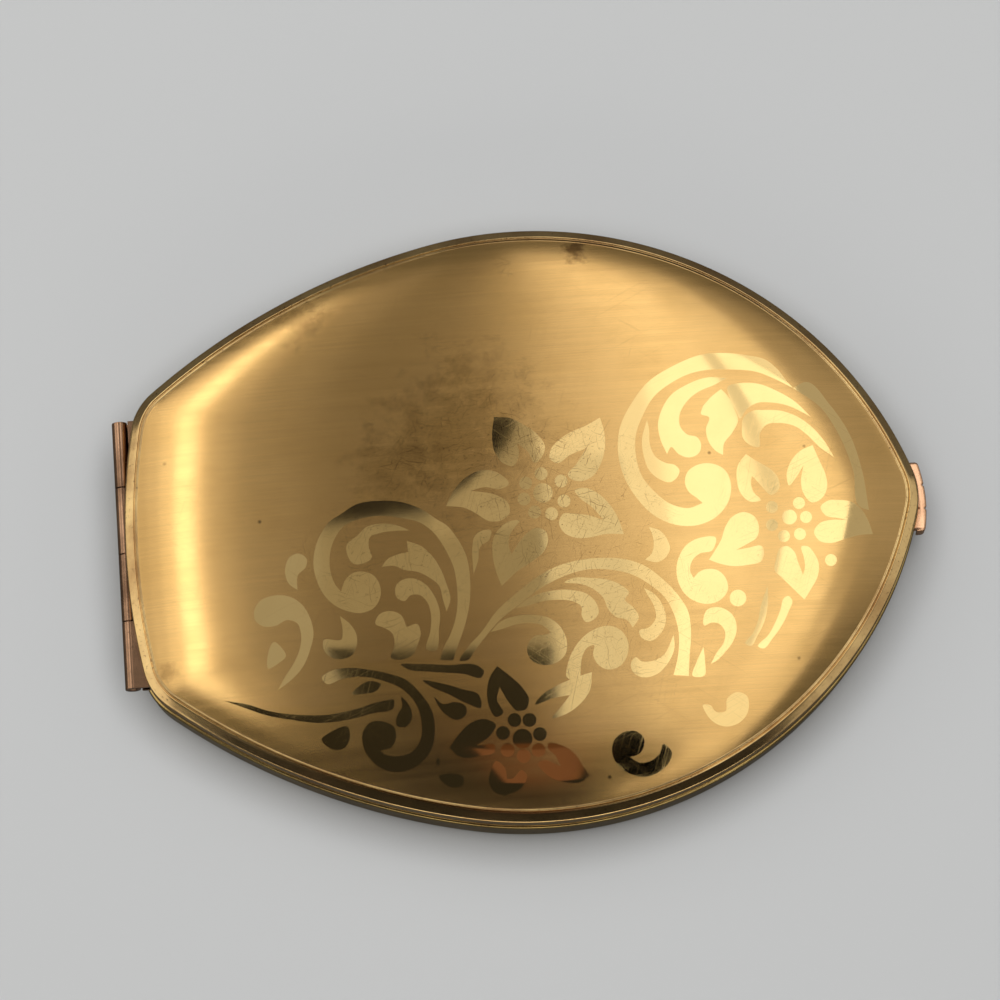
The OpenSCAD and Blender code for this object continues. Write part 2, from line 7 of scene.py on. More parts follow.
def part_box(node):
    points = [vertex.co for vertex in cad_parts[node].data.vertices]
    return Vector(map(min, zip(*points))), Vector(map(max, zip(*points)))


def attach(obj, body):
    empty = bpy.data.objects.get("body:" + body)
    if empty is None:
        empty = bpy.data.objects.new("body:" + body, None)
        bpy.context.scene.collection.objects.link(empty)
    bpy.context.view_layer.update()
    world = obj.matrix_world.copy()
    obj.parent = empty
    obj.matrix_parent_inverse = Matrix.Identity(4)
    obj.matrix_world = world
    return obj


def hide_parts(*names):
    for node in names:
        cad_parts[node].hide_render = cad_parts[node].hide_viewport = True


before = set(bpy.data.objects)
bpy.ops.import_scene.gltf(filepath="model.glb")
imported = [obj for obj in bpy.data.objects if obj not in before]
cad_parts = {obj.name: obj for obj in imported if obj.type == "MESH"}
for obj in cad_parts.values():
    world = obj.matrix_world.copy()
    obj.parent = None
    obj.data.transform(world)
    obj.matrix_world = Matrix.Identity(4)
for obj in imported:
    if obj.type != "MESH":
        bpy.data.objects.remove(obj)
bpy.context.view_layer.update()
mm = 0.001
scene = bpy.context.scene
scene.view_settings.view_transform = "Standard"
collection = scene.collection


def link(name, data):
    obj = bpy.data.objects.new(name, data)
    collection.objects.link(obj)
    return obj


# Camera, fitted to the photograph together with the outline; lengths in mm
view = {"azimuth": -94.64, "elevation": 73.19, "distance": 420, "target": (-2.53, 2.69, 8.0), "perPixel": 0.11996,
        "pixels": 1000, "sensor": 36}
azimuth, elevation = radians(view["azimuth"]), radians(view["elevation"])
viewBack = np.array([cos(elevation) * cos(azimuth), cos(elevation) * sin(azimuth), sin(elevation)])
viewRight = np.array([-sin(azimuth), cos(azimuth), 0.0])
viewUp = np.cross(viewBack, viewRight)
viewTarget = np.array(view["target"])
eye = viewTarget + view["distance"] * viewBack
cameraData = bpy.data.cameras.new("camera")
camera = link("camera", cameraData)
camera.matrix_world = Matrix([
    (*[float(a[i]) for a in (viewRight, viewUp, viewBack)], float(eye[i]) * mm) for i in range(3)] + [(0, 0, 0, 1)])
cameraData.sensor_width = view["sensor"]
cameraData.lens = view["sensor"] * view["distance"] / (view["pixels"] * view["perPixel"])
cameraData.clip_start, cameraData.clip_end = 0.01, 20
scene.camera = camera


# The unit direction of the ray through each photo pixel
def pixelRays(pixels):
    p = np.asarray(pixels, float)
    across = (p[:, :1] - view["pixels"] / 2) * view["perPixel"]
    down = (p[:, 1:2] - view["pixels"] / 2) * view["perPixel"]
    d = viewTarget + across * viewRight - down * viewUp - eye
    return d / np.linalg.norm(d, axis=1)[:, None]


# Outline of the case: tangent arcs, as in part.scad; lengths in mm
case = {
    "length": 95.3, "width": 73.9, "widePlace": 0.508, "tipRadius": 8.4, "shoulder": 0.73, "shoulderTurn": 11.8,
    "flank": 1.308, "cornerRadius": 7.6, "bowRadius": 82,
    "sheet": 0.5, "baseHeight": 5.9, "seam": 0.1, "beadProud": 0.25, "beadHeight": 0.75, "footRadius": 1.6,
    "skirt": 1.8, "flangeWidth": 1.1, "flangeRise": 0.8, "lineWidth": 0.5, "domeRise": 3,
    "crown": 0.52, "rollPower": 10, "barrelLength": 33.4, "barrelWidth": 1.85, "barrelOut": 0.1,
    "knuckleGap": 0.12, "leafReach": 5.2, "slideFit": 0.12,
}
endX, tipX, halfWidth = -case["length"] / 2, case["length"] / 2, case["width"] / 2
lidZ = case["baseHeight"] + case["seam"]
hingeX, hingeZ = endX - case["barrelOut"], case["baseHeight"] + case["seam"] / 2
flangeZ = lidZ + case["skirt"]
panelZ = flangeZ + case["flangeRise"]
topZ = panelZ + case["domeRise"]
panelInset = case["flangeWidth"] + case["lineWidth"]


def turnAngle(a, b):
    return degrees(atan2(b[0] - a[0], b[1] - a[1]))


def outlineArcs():
    wideX = endX + case["length"] * case["widePlace"]
    run = tipX - case["tipRadius"] - wideX
    sideR = (run ** 2 + halfWidth ** 2 - case["tipRadius"] ** 2) / (2 * (halfWidth - case["tipRadius"]))
    tipC, sideC = np.array([tipX - case["tipRadius"], 0.0]), np.array([wideX, halfWidth - sideR])
    ellipseR = (wideX - endX) ** 2 / halfWidth
    shoulderR, flankR = ellipseR * case["shoulder"], ellipseR * case["flank"]
    shoulderC = np.array([wideX, halfWidth - shoulderR])
    s = radians(case["shoulderTurn"])
    flankC = shoulderC + (shoulderR - flankR) * np.array([-sin(s), cos(s)])
    bowC = np.array([endX + case["bowRadius"], 0.0])
    ra, rb = flankR - case["cornerRadius"], case["bowRadius"] - case["cornerRadius"]
    d = np.linalg.norm(bowC - flankC)
    e = (bowC - flankC) / d
    k = (ra ** 2 - rb ** 2 + d ** 2) / (2 * d)
    cornerC = flankC + k * e + sqrt(ra ** 2 - k ** 2) * np.array([-e[1], e[0]])
    sideTurn, flankTurn, cornerTurn = turnAngle(sideC, tipC), turnAngle(flankC, cornerC), turnAngle(bowC, cornerC)
    return [
        (tipC, case["tipRadius"], 90, sideTurn), (sideC, sideR, sideTurn, 0),
        (shoulderC, shoulderR, 0, -case["shoulderTurn"]), (flankC, flankR, -case["shoulderTurn"], flankTurn),
        (cornerC, case["cornerRadius"], flankTurn, cornerTurn), (bowC, case["bowRadius"], cornerTurn, -90)]


arcs = outlineArcs()


# The outline drawn in by inset, anticlockwise from the tip, with even steps of about the given length
outlineStep, baseStep, fineStep = 0.62, 0.8, 0.1


def outline(inset, step=outlineStep):
    half = []
    for centre, radius, a0, a1 in arcs:
        n = max(3, round(radius * radians(abs(a1 - a0)) / step))
        a = np.radians(a0 + (a1 - a0) * np.arange(n) / n)
        half.append(centre + (radius - inset) * np.c_[np.sin(a), np.cos(a)])
    half = np.vstack(half)
    return np.vstack([half, [[endX + inset, 0.0]], (half * [1, -1])[1:][::-1]])


# Reach of the panel's edge from the middle of the case in every direction, exact and smoothed
crown = {"turns": 2048, "waves": 7.0, "blend": 4, "reach": 1.02}
fineEdge = outline(panelInset, fineStep)
edgeTurn = np.unwrap(np.arctan2(fineEdge[:, 1], fineEdge[:, 0]))
edgeReach = np.hypot(fineEdge[:, 0], fineEdge[:, 1])
evenTurn = np.linspace(-pi, pi, crown["turns"] + 1)[:-1]
evenReach = np.interp(evenTurn, edgeTurn, edgeReach, period=2 * pi)
waves = np.fft.rfft(evenReach)
softReach = np.fft.irfft(waves * np.exp(-(np.arange(len(waves)) / crown["waves"]) ** 2), len(evenReach))


def domeShare(x, y):
    angle, reach = np.arctan2(y, x), np.hypot(x, y)
    exact = np.interp(angle, edgeTurn, edgeReach, period=2 * pi)
    soft = np.interp(angle, evenTurn, softReach, period=2 * pi)
    w = np.clip(reach / exact, 0, 1) ** crown["blend"]
    return reach / (exact * w + soft * (1 - w))


# Rise of the dome at a share of the way from its middle to its edge
def domeRise(s):
    c = case["crown"]
    return case["domeRise"] * (c * (1 - s ** 2) + (1 - c) * (1 - s ** case["rollPower"]))


def domeHeight(x, y):
    return panelZ + domeRise(np.clip(domeShare(x, y), 0, crown["reach"]))


def domeNormal(x, y):
    h = 0.02
    gx = (domeHeight(x + h, y) - domeHeight(x - h, y)) / (2 * h)
    gy = (domeHeight(x, y + h) - domeHeight(x, y - h)) / (2 * h)
    n = np.c_[-gx, -gy, np.ones_like(gx)]
    return n / np.linalg.norm(n, axis=1)[:, None]


# Photo pixels cast onto the domed panel, in mm
def ontoPanel(pixels):
    d = pixelRays(pixels)
    z, rounds = np.full(len(d), 11.0), 12
    for _ in range(rounds):
        t = (z - eye[2]) / d[:, 2]
        p = eye + t[:, None] * d
        z = domeHeight(p[:, 0], p[:, 1])
    return p[:, :2]


def makeObject(name, points, faces, scale=mm):
    mesh = bpy.data.meshes.new(name)
    mesh.from_pydata([tuple(float(c) * scale for c in p) for p in points], [],
                     [tuple(int(i) for i in f) for f in faces])
    mesh.validate()
    return link(name, mesh)


# Closed skin through rings of points, each end closed by a middle point unless it is left open
def skinParts(rings, first=None, last=None):
    n = len(rings[0])
    points = [p for r in rings for p in r]
    faces = []
    for i in range(len(rings) - 1):
        a, b = i * n, (i + 1) * n
        faces += [(a + j, a + (j + 1) % n, b + (j + 1) % n, b + j) for j in range(n)]
    if first is not None:
        points.append(first)
        faces += [(len(points) - 1, (j + 1) % n, j) for j in range(n)]
    if last is not None:
        points.append(last)
        a = (len(rings) - 1) * n
        faces += [(len(points) - 1, a + j, a + (j + 1) % n) for j in range(n)]
    return points, faces


def ringAt(inset, z, step=outlineStep):
    return [(x, y, z) for x, y in outline(inset, step)]


# Takes a modifier's result into the object's mesh
def bake(obj):
    graph = bpy.context.evaluated_depsgraph_get()
    graph.update()
    mesh = bpy.data.meshes.new_from_object(obj.evaluated_get(graph))
    obj.modifiers.clear()
    old = obj.data
    obj.data = mesh
    bpy.data.meshes.remove(old)
    return obj


# Joins another form to an object, or cuts it out
def fuse(obj, other, operation="UNION"):
    join = obj.modifiers.new("fuse", "BOOLEAN")
    join.operation, join.solver, join.object = operation, "EXACT", other
    bake(obj)
    bpy.data.objects.remove(other)
    return obj


def cutBox(obj, low, high):
    corners = [(x, y, z) for x in (low[0], high[0]) for y in (low[1], high[1]) for z in (low[2], high[2])]
    sides = [(0, 1, 3, 2), (4, 6, 7, 5), (0, 4, 5, 1), (2, 3, 7, 6), (0, 2, 6, 4), (1, 5, 7, 3)]
    return fuse(obj, makeObject("cutter", corners, sides), "DIFFERENCE")


# Joins points closer than the given metres and turns all faces outwards
def tidyMesh(obj, dissolve=True, join=1e-6):
    work = bmesh.new()
    work.from_mesh(obj.data)
    bmesh.ops.remove_doubles(work, verts=work.verts, dist=join)
    if dissolve:
        bmesh.ops.dissolve_limit(work, angle_limit=radians(0.5), verts=work.verts, edges=work.edges)
    bmesh.ops.recalc_face_normals(work, faces=work.faces)
    work.to_mesh(obj.data)
    work.free()
    return obj


# One value, or a few, of every item of a mesh as an array
def readAll(items, key, size=1, kind=float):
    values = np.zeros(len(items) * size, kind)
    items.foreach_get(key, values)
    return values.reshape(-1, size) if size > 1 else values


# Smooth shading, with edges sharper than the angle kept sharp
def smoothBy(obj, angle=35):
    mesh = obj.data
    mesh.shade_smooth()
    mesh.set_sharp_from_angle(angle=radians(angle))
    return obj


print("stage: materials")


def node(tree, kind, links=None, **props):
    made = tree.nodes.new(kind)
    for key, value in props.items():
        setattr(made, key, value)
    for key, value in (links or {}).items():
        socket = made.inputs[key]
        if isinstance(value, bpy.types.NodeSocket):
            tree.links.new(value, socket)
        else:
            socket.default_value = value
    return made


def makeGroup(name, ins, outs):
    tree = bpy.data.node_groups.new(name, "ShaderNodeTree")
    for label, kind, value in ins:
        socket = tree.interface.new_socket(label, in_out="INPUT", socket_type=kind)
        if value is not None:
            socket.default_value = value
    for label, kind in outs:
        tree.interface.new_socket(label, in_out="OUTPUT", socket_type=kind)
    return tree, tree.nodes.new("NodeGroupInput").outputs, tree.nodes.new("NodeGroupOutput").inputs


def math(tree, operation, a, b=0.0):
    return node(tree, "ShaderNodeMath", {0: a, 1: b}, operation=operation).outputs[0]


def ramp(tree, value, low, high, lowTo=0.0, highTo=1.0):
    return node(tree, "ShaderNodeMapRange", {0: value, 1: low, 2: high, 3: lowTo, 4: highTo}, clamp=True).outputs[0]


def mixColour(tree, factor, a, b):
    return node(tree, "ShaderNodeMix", {0: factor, 6: a, 7: b}, data_type="RGBA").outputs[2]


# The first output of a node, for chains of nodes
def out(tree, kind, links=None, **props):
    return node(tree, kind, links, **props).outputs[0]


def noise(tree, place, scale, detail=0.0, rough=0.5, output=0):
    links = {"Vector": place, "Scale": scale, "Detail": detail, "Roughness": rough}
    return node(tree, "ShaderNodeTexNoise", links).outputs[output]


def vector(tree, operation, a, b):
    return out(tree, "ShaderNodeVectorMath", {0: a, 1: b}, operation=operation)


def scaled(tree, value, factor):
    return out(tree, "ShaderNodeVectorMath", {0: value, 3: factor}, operation="SCALE")


def times(tree, a, b):
    return math(tree, "MULTIPLY", a, b)


def greatest(tree, values):
    most = values[0]
    for value in values[1:]:
        most = math(tree, "MAXIMUM", most, value)
    return most


def objectPlace(tree):
    return node(tree, "ShaderNodeTexCoord").outputs["Object"]


# Fine straight brush lines along X, in object millimetres
brush = {"length": 0.08, "detail": 4.0, "rough": 0.65, "broadShare": 0.14, "broadDetail": 2.0}
brushLines, gi, go = makeGroup("brushLines", [("Density", "NodeSocketFloat", 14.0)],
                               [("Lines", "NodeSocketFloat"), ("Broad", "NodeSocketFloat")])
stretch = out(brushLines, "ShaderNodeCombineXYZ", {0: brush["length"], 1: gi["Density"], 2: brush["length"]})
along = vector(brushLines, "MULTIPLY", objectPlace(brushLines), scaled(brushLines, stretch, 1 / mm))
brushLines.links.new(noise(brushLines, along, 1.0, brush["detail"], brush["rough"]), go["Lines"])
wide = scaled(brushLines, along, brush["broadShare"])
brushLines.links.new(noise(brushLines, wide, 1.0, brush["broadDetail"]), go["Broad"])

hairShift, hairSpread = (9, 0, 0), (0, 0.7, 0.7)


# Hairs along one direction, each shifted along itself so that their ends don't line up
def hairLines(tree, place, angle, seed, kind):
    scale = [1 / count for count in kind["perMetre"]]
    turned = out(tree, "ShaderNodeMapping", {"Vector": place, "Rotation": (0, 0, radians(angle)),
                                             "Location": (seed, seed, 0), "Scale": scale}, vector_type="TEXTURE")
    across = vector(tree, "MULTIPLY", turned, hairSpread)
    shift = vector(tree, "MULTIPLY", noise(tree, across, 1.0, output=1), hairShift)
    return ramp(tree, noise(tree, vector(tree, "ADD", turned, shift), 1.0), *kind["range"])


# Object coordinates bent by a soft noise
def bentPlace(tree, kind):
    place = objectPlace(tree)
    bend = scaled(tree, noise(tree, place, kind["bendScale"], 1.0, output=1), kind["bend"])
    return vector(tree, "ADD", place, bend)


# Sparse hairline scratches in three directions, in patches
scratch = {"perMetre": (130, 7000, 400), "bendScale": 60.0, "bend": 0.002, "range": (0.73, 0.77),
           "patchScale": 55.0, "patchRange": (0.5, 0.6), "turns": ((25, 3.1), (-38, 7.7), (72, 12.9))}
scratches, gi, go = makeGroup("scratches", [("Amount", "NodeSocketFloat", 0.5)], [("Mask", "NodeSocketFloat")])
place = bentPlace(scratches, scratch)
hairs = []
for angle, seed in scratch["turns"]:
    patch = ramp(scratches, noise(scratches, place, scratch["patchScale"] + seed, 1.0), *scratch["patchRange"])
    hairs.append(times(scratches, hairLines(scratches, place, angle, seed, scratch), patch))
scratches.links.new(times(scratches, greatest(scratches, hairs), gi["Amount"]), go["Mask"])

# Cloudy tarnish and small dark spots
cloudy = {"scale": 120.0, "range": (0.38, 0.68), "spots": 260.0, "spotRange": (0.08, 0.03), "rareScale": 90.0,
          "rareRange": (0.6, 0.66)}
tarnish, gi, go = makeGroup("tarnish", [], [("Cloud", "NodeSocketFloat"), ("Spot", "NodeSocketFloat")])
place = objectPlace(tarnish)
cell = node(tarnish, "ShaderNodeTexVoronoi", {"Vector": place, "Scale": cloudy["spots"]}).outputs["Distance"]
rare = ramp(tarnish, noise(tarnish, place, cloudy["rareScale"], 1.0), *cloudy["rareRange"])
tarnish.links.new(ramp(tarnish, noise(tarnish, place, cloudy["scale"], 5.0, 0.6), *cloudy["range"]), go["Cloud"])
tarnish.links.new(times(tarnish, ramp(tarnish, cell, *cloudy["spotRange"]), rare), go["Spot"])

# Fine specks and short hairs, for pitted metals and for the places that the marks name
worn = {"perMetre": (420, 6500, 400), "bendScale": 700.0, "bend": 0.0007, "range": (0.74, 0.79),
        "specks": 2600.0, "speckRange": (0.6, 0.66), "turns": ((58, 1.7), (-22, 5.3), (97, 9.1), (14, 4.4))}
wear, gi, go = makeGroup("wear", [], [("Specks", "NodeSocketFloat"), ("Hairs", "NodeSocketFloat")])
specks = noise(wear, objectPlace(wear), worn["specks"], 4.0, 0.75)
wear.links.new(ramp(wear, specks, *worn["speckRange"]), go["Specks"])
place = bentPlace(wear, worn)
hairs = [hairLines(wear, place, angle, seed, worn) for angle, seed in worn["turns"]]
wear.links.new(greatest(wear, hairs), go["Hairs"])

# How far a place is inside a ragged patch; sizes in metres
ragged = {"scale": 420.0, "detail": 5.0, "rough": 0.65, "reach": 4.0, "stain": (1.15, 0.35), "near": (1.2, 0.4)}
markAt, gi, go = makeGroup("markAt", [("Place", "NodeSocketVector", None), ("Size", "NodeSocketFloat", 0.002),
                                      ("Ragged", "NodeSocketFloat", 0.5)],
                           [("Stain", "NodeSocketFloat"), ("Near", "NodeSocketFloat")])
here = objectPlace(markAt)
flatly = vector(markAt, "MULTIPLY", here, (1, 1, 0))
away = node(markAt, "ShaderNodeVectorMath", {0: flatly, 1: gi["Place"]}, operation="DISTANCE").outputs["Value"]
wave = math(markAt, "SUBTRACT", noise(markAt, here, ragged["scale"], ragged["detail"], ragged["rough"]), 0.5)
wave = times(markAt, times(markAt, wave, gi["Ragged"]), gi["Size"])
away = math(markAt, "ADD", away, times(markAt, wave, ragged["reach"]))
share = math(markAt, "DIVIDE", away, gi["Size"])
markAt.links.new(ramp(markAt, share, *ragged["stain"]), go["Stain"])
markAt.links.new(ramp(markAt, share, *ragged["near"]), go["Near"])


def useGroup(tree, group, links=None):
    made = tree.nodes.new("ShaderNodeGroup")
    made.node_tree = group
    for key, value in (links or {}).items():
        if isinstance(value, bpy.types.NodeSocket):
            tree.links.new(value, made.inputs[key])
        else:
            made.inputs[key].default_value = value
    return made.outputs


# A new material, its tree and its shader
def newLook(name):
    made = bpy.data.materials.new(name)
    made.use_nodes = True
    return made, made.node_tree, made.node_tree.nodes["Principled BSDF"]


def darker(colour, shares):
    return (*[c * share for c, share in zip(colour, shares)], 1)


metalLook = {
    "spot": 0.85, "hair": 0.8, "wornHair": 0.85, "liftRange": (0.3, 0.7), "liftLow": 0.035, "liftHigh": 0.03,
    "hairGloss": 0.25, "broadGloss": 0.015, "spotTone": (0.3, 0.3, 0.3), "hairTone": (0.5, 0.45, 0.4),
    "pitTone": (0.3, 0.26, 0.25), "stainTone": (0.35, 0.3, 0.3), "damageTone": (0.3, 0.24, 0.2),
}


# A worn metal: colours, roughness range, brushing along X, scratches and tarnish; marks are photo pixel, size in mm,
# raggedness, stain and specks
def metal(name, colour, dark, rough, brushed=0.0, scratched=0.5, tarnished=0.5, anisotropic=0.0, bump=0.02, marks=(),
          pitted=0.0, density=14.0):
    made, tree, shader = newLook(name)
    shader.inputs["Metallic"].default_value = 1.0
    lines = useGroup(tree, brushLines, {"Density": density})
    hairs = useGroup(tree, scratches, {"Amount": scratched})
    stains = useGroup(tree, tarnish)
    pits = useGroup(tree, wear)
    tone = mixColour(tree, times(tree, stains["Cloud"], tarnished), (*colour, 1), (*dark, 1))
    tone = mixColour(tree, times(tree, stains["Spot"], metalLook["spot"]), tone, darker(dark, metalLook["spotTone"]))
    tone = mixColour(tree, times(tree, hairs["Mask"], metalLook["hair"]), tone, darker(dark, metalLook["hairTone"]))
    tone = mixColour(tree, times(tree, pits["Specks"], pitted), tone, darker(dark, metalLook["pitTone"]))
    damage = math(tree, "MAXIMUM", pits["Specks"], times(tree, pits["Hairs"], metalLook["wornHair"]))
    for spot, size, raggedness, stained, specked in marks:
        x, y = ontoPanel([spot])[0]
        mark = useGroup(tree, markAt, {"Place": (x * mm, y * mm, 0), "Size": size * mm, "Ragged": raggedness})
        tone = mixColour(tree, times(tree, mark["Stain"], stained), tone, darker(dark, metalLook["stainTone"]))
        amount = times(tree, times(tree, mark["Near"], damage), specked)
        tone = mixColour(tree, amount, tone, darker(dark, metalLook["damageTone"]))
    lift = ramp(tree, lines["Lines"], *metalLook["liftRange"], 1 - metalLook["liftLow"] * brushed,
                1 + metalLook["liftHigh"] * brushed)
    tree.links.new(scaled(tree, tone, lift), shader.inputs["Base Color"])
    gloss = ramp(tree, stains["Cloud"], 0.0, 1.0, *rough)
    gloss = math(tree, "ADD", gloss, times(tree, hairs["Mask"], metalLook["hairGloss"]))
    if brushed:
        streak = metalLook["broadGloss"] * brushed
        gloss = math(tree, "ADD", gloss, ramp(tree, lines["Broad"], *metalLook["liftRange"], -streak, streak))
    tree.links.new(gloss, shader.inputs["Roughness"])
    height = math(tree, "SUBTRACT", times(tree, lines["Lines"], brushed), hairs["Mask"])
    dent = out(tree, "ShaderNodeBump", {"Strength": 1.0, "Distance": bump * mm, "Height": height})
    tree.links.new(dent, shader.inputs["Normal"])
    if anisotropic:
        shader.inputs["Anisotropic"].default_value = anisotropic
        tangent = out(tree, "ShaderNodeTangent", direction_type="UV_MAP", uv_map="plan")
        tree.links.new(tangent, shader.inputs["Tangent"])
    return made


lidMarks = [
    ((505, 268), 1.2, 1.0, 0.0, 0.7), ((577, 246), 2.1, 0.9, 0.85, 0.3), ((300, 322), 2.6, 1.0, 0.3, 0.2),
    ((166, 673), 1.3, 0.7, 0.45, 0.3), ((462, 430), 9.5, 0.7, 0.3, 0.45), ((395, 470), 5.5, 0.8, 0.2, 0.35),
    ((545, 500), 12.0, 0.6, 0.0, 0.5), ((620, 610), 10.0, 0.6, 0.0, 0.3), ((345, 560), 7.0, 0.7, 0.0, 0.3)]
polishMarks = [
    ((520, 450), 7.0, 0.7, 0.15, 0.8), ((560, 500), 11.0, 0.6, 0.0, 0.75), ((610, 600), 12.0, 0.6, 0.0, 0.5),
    ((390, 560), 9.0, 0.7, 0.0, 0.45), ((790, 520), 9.0, 0.6, 0.0, 0.2)]
satinBrass = metal("satinBrass", (0.72, 0.446, 0.163), (0.6, 0.355, 0.11), (0.2, 0.225), brushed=1.6, scratched=0.12,
                   tarnished=0.35, anisotropic=0.82, bump=0.0006, marks=lidMarks, density=7.0)
polishBrass = metal("polishBrass", (0.84, 0.6, 0.25), (0.7, 0.46, 0.17), (0.045, 0.075), brushed=0.15, scratched=0.22,
                    tarnished=0.3, bump=0.001, marks=polishMarks)
rimBrass = metal("rimBrass", (0.68, 0.47, 0.205), (0.36, 0.2, 0.08), (0.1, 0.2), brushed=0.3, scratched=0.12,
                 tarnished=0.8, bump=0.002, pitted=0.7)
innerBrass = metal("innerBrass", (0.84, 0.62, 0.28), (0.74, 0.5, 0.2), (0.16, 0.24), brushed=0.25, scratched=0.4,
                   tarnished=0.3, bump=0.006)
# The base's brass is darker than the rim's: partly tarnish, partly painted shade for its side, which mirrors the
# shadowed floor
shadedBaseBrass = metal("shadedBaseBrass", (0.5, 0.355, 0.13), (0.25, 0.155, 0.055), (0.12, 0.22), brushed=0.3, scratched=0.12,
                  tarnished=0.8, bump=0.002, pitted=0.6)
hingeBrass = metal("hingeBrass", (0.4, 0.235, 0.14), (0.13, 0.07, 0.04), (0.2, 0.3), brushed=0.2, scratched=0.12,
                   tarnished=1.0, bump=0.002, pitted=0.5)
copperPlate = metal("copperPlate", (0.9, 0.53, 0.32), (0.7, 0.36, 0.19), (0.2, 0.32), brushed=0.1, scratched=0.15,
                    tarnished=0.7, bump=0.003, pitted=0.5)
springSteel = metal("springSteel", (0.6, 0.59, 0.57), (0.42, 0.4, 0.38), (0.22, 0.34), brushed=0.4, scratched=0.4,
                    tarnished=0.4, bump=0.006)
silverGlass = metal("silverGlass", (0.9, 0.92, 0.92), (0.87, 0.89, 0.9), (0.01, 0.02), scratched=0.15,
                    tarnished=0.05, bump=0.001)
deckBrass = metal("deckBrass", (0.84, 0.6, 0.26), (0.72, 0.48, 0.18), (0.2, 0.28), brushed=0.6, scratched=0.4,
                  tarnished=0.35, bump=0.004)
turnedBrass = metal("turnedBrass", (0.84, 0.61, 0.27), (0.72, 0.48, 0.18), (0.15, 0.22), scratched=0.4,
                    tarnished=0.3, bump=0.004)

softLook = {"broad": 40, "fineShare": 0.6, "toneRange": (0.35, 0.65), "fineRange": (0.3, 0.7), "sheenRough": 0.4}


# A soft or matte surface: two colours in a fine grain, a bump of the same grain and a sheen
def plain(name, colour, dark, rough, grain, bump, sheen=0.0):
    made, tree, shader = newLook(name)
    place = objectPlace(tree)
    fine, broad = noise(tree, place, grain, 3.0, 0.6), noise(tree, place, grain / softLook["broad"], 2.0)
    share = softLook["fineShare"]
    tone = math(tree, "ADD", times(tree, fine, share), times(tree, broad, 1 - share))
    tone = mixColour(tree, ramp(tree, tone, *softLook["toneRange"]), (*colour, 1), (*dark, 1))
    tree.links.new(tone, shader.inputs["Base Color"])
    tree.links.new(ramp(tree, fine, *softLook["fineRange"], *rough), shader.inputs["Roughness"])
    dent = out(tree, "ShaderNodeBump", {"Strength": 1.0, "Distance": bump * mm, "Height": fine})
    tree.links.new(dent, shader.inputs["Normal"])
    if sheen:
        shader.inputs["Sheen Weight"].default_value = sheen
        shader.inputs["Sheen Roughness"].default_value = softLook["sheenRough"]
    return made


backCard = plain("backCard", (0.5, 0.39, 0.25), (0.42, 0.32, 0.2), (0.85, 0.95), grain=4000, bump=0.02)
velour = plain("velour", (0.84, 0.66, 0.56), (0.72, 0.52, 0.43), (0.85, 1.0), grain=9000, bump=0.12, sheen=0.6)
satinRibbon = plain("satinRibbon", (0.8, 0.47, 0.42), (0.72, 0.38, 0.34), (0.3, 0.42), grain=9000, bump=0.01, sheen=0.2)
thread = plain("thread", (0.78, 0.5, 0.45), (0.66, 0.38, 0.34), (0.6, 0.8), grain=12000, bump=0.02)

print("stage: lid")
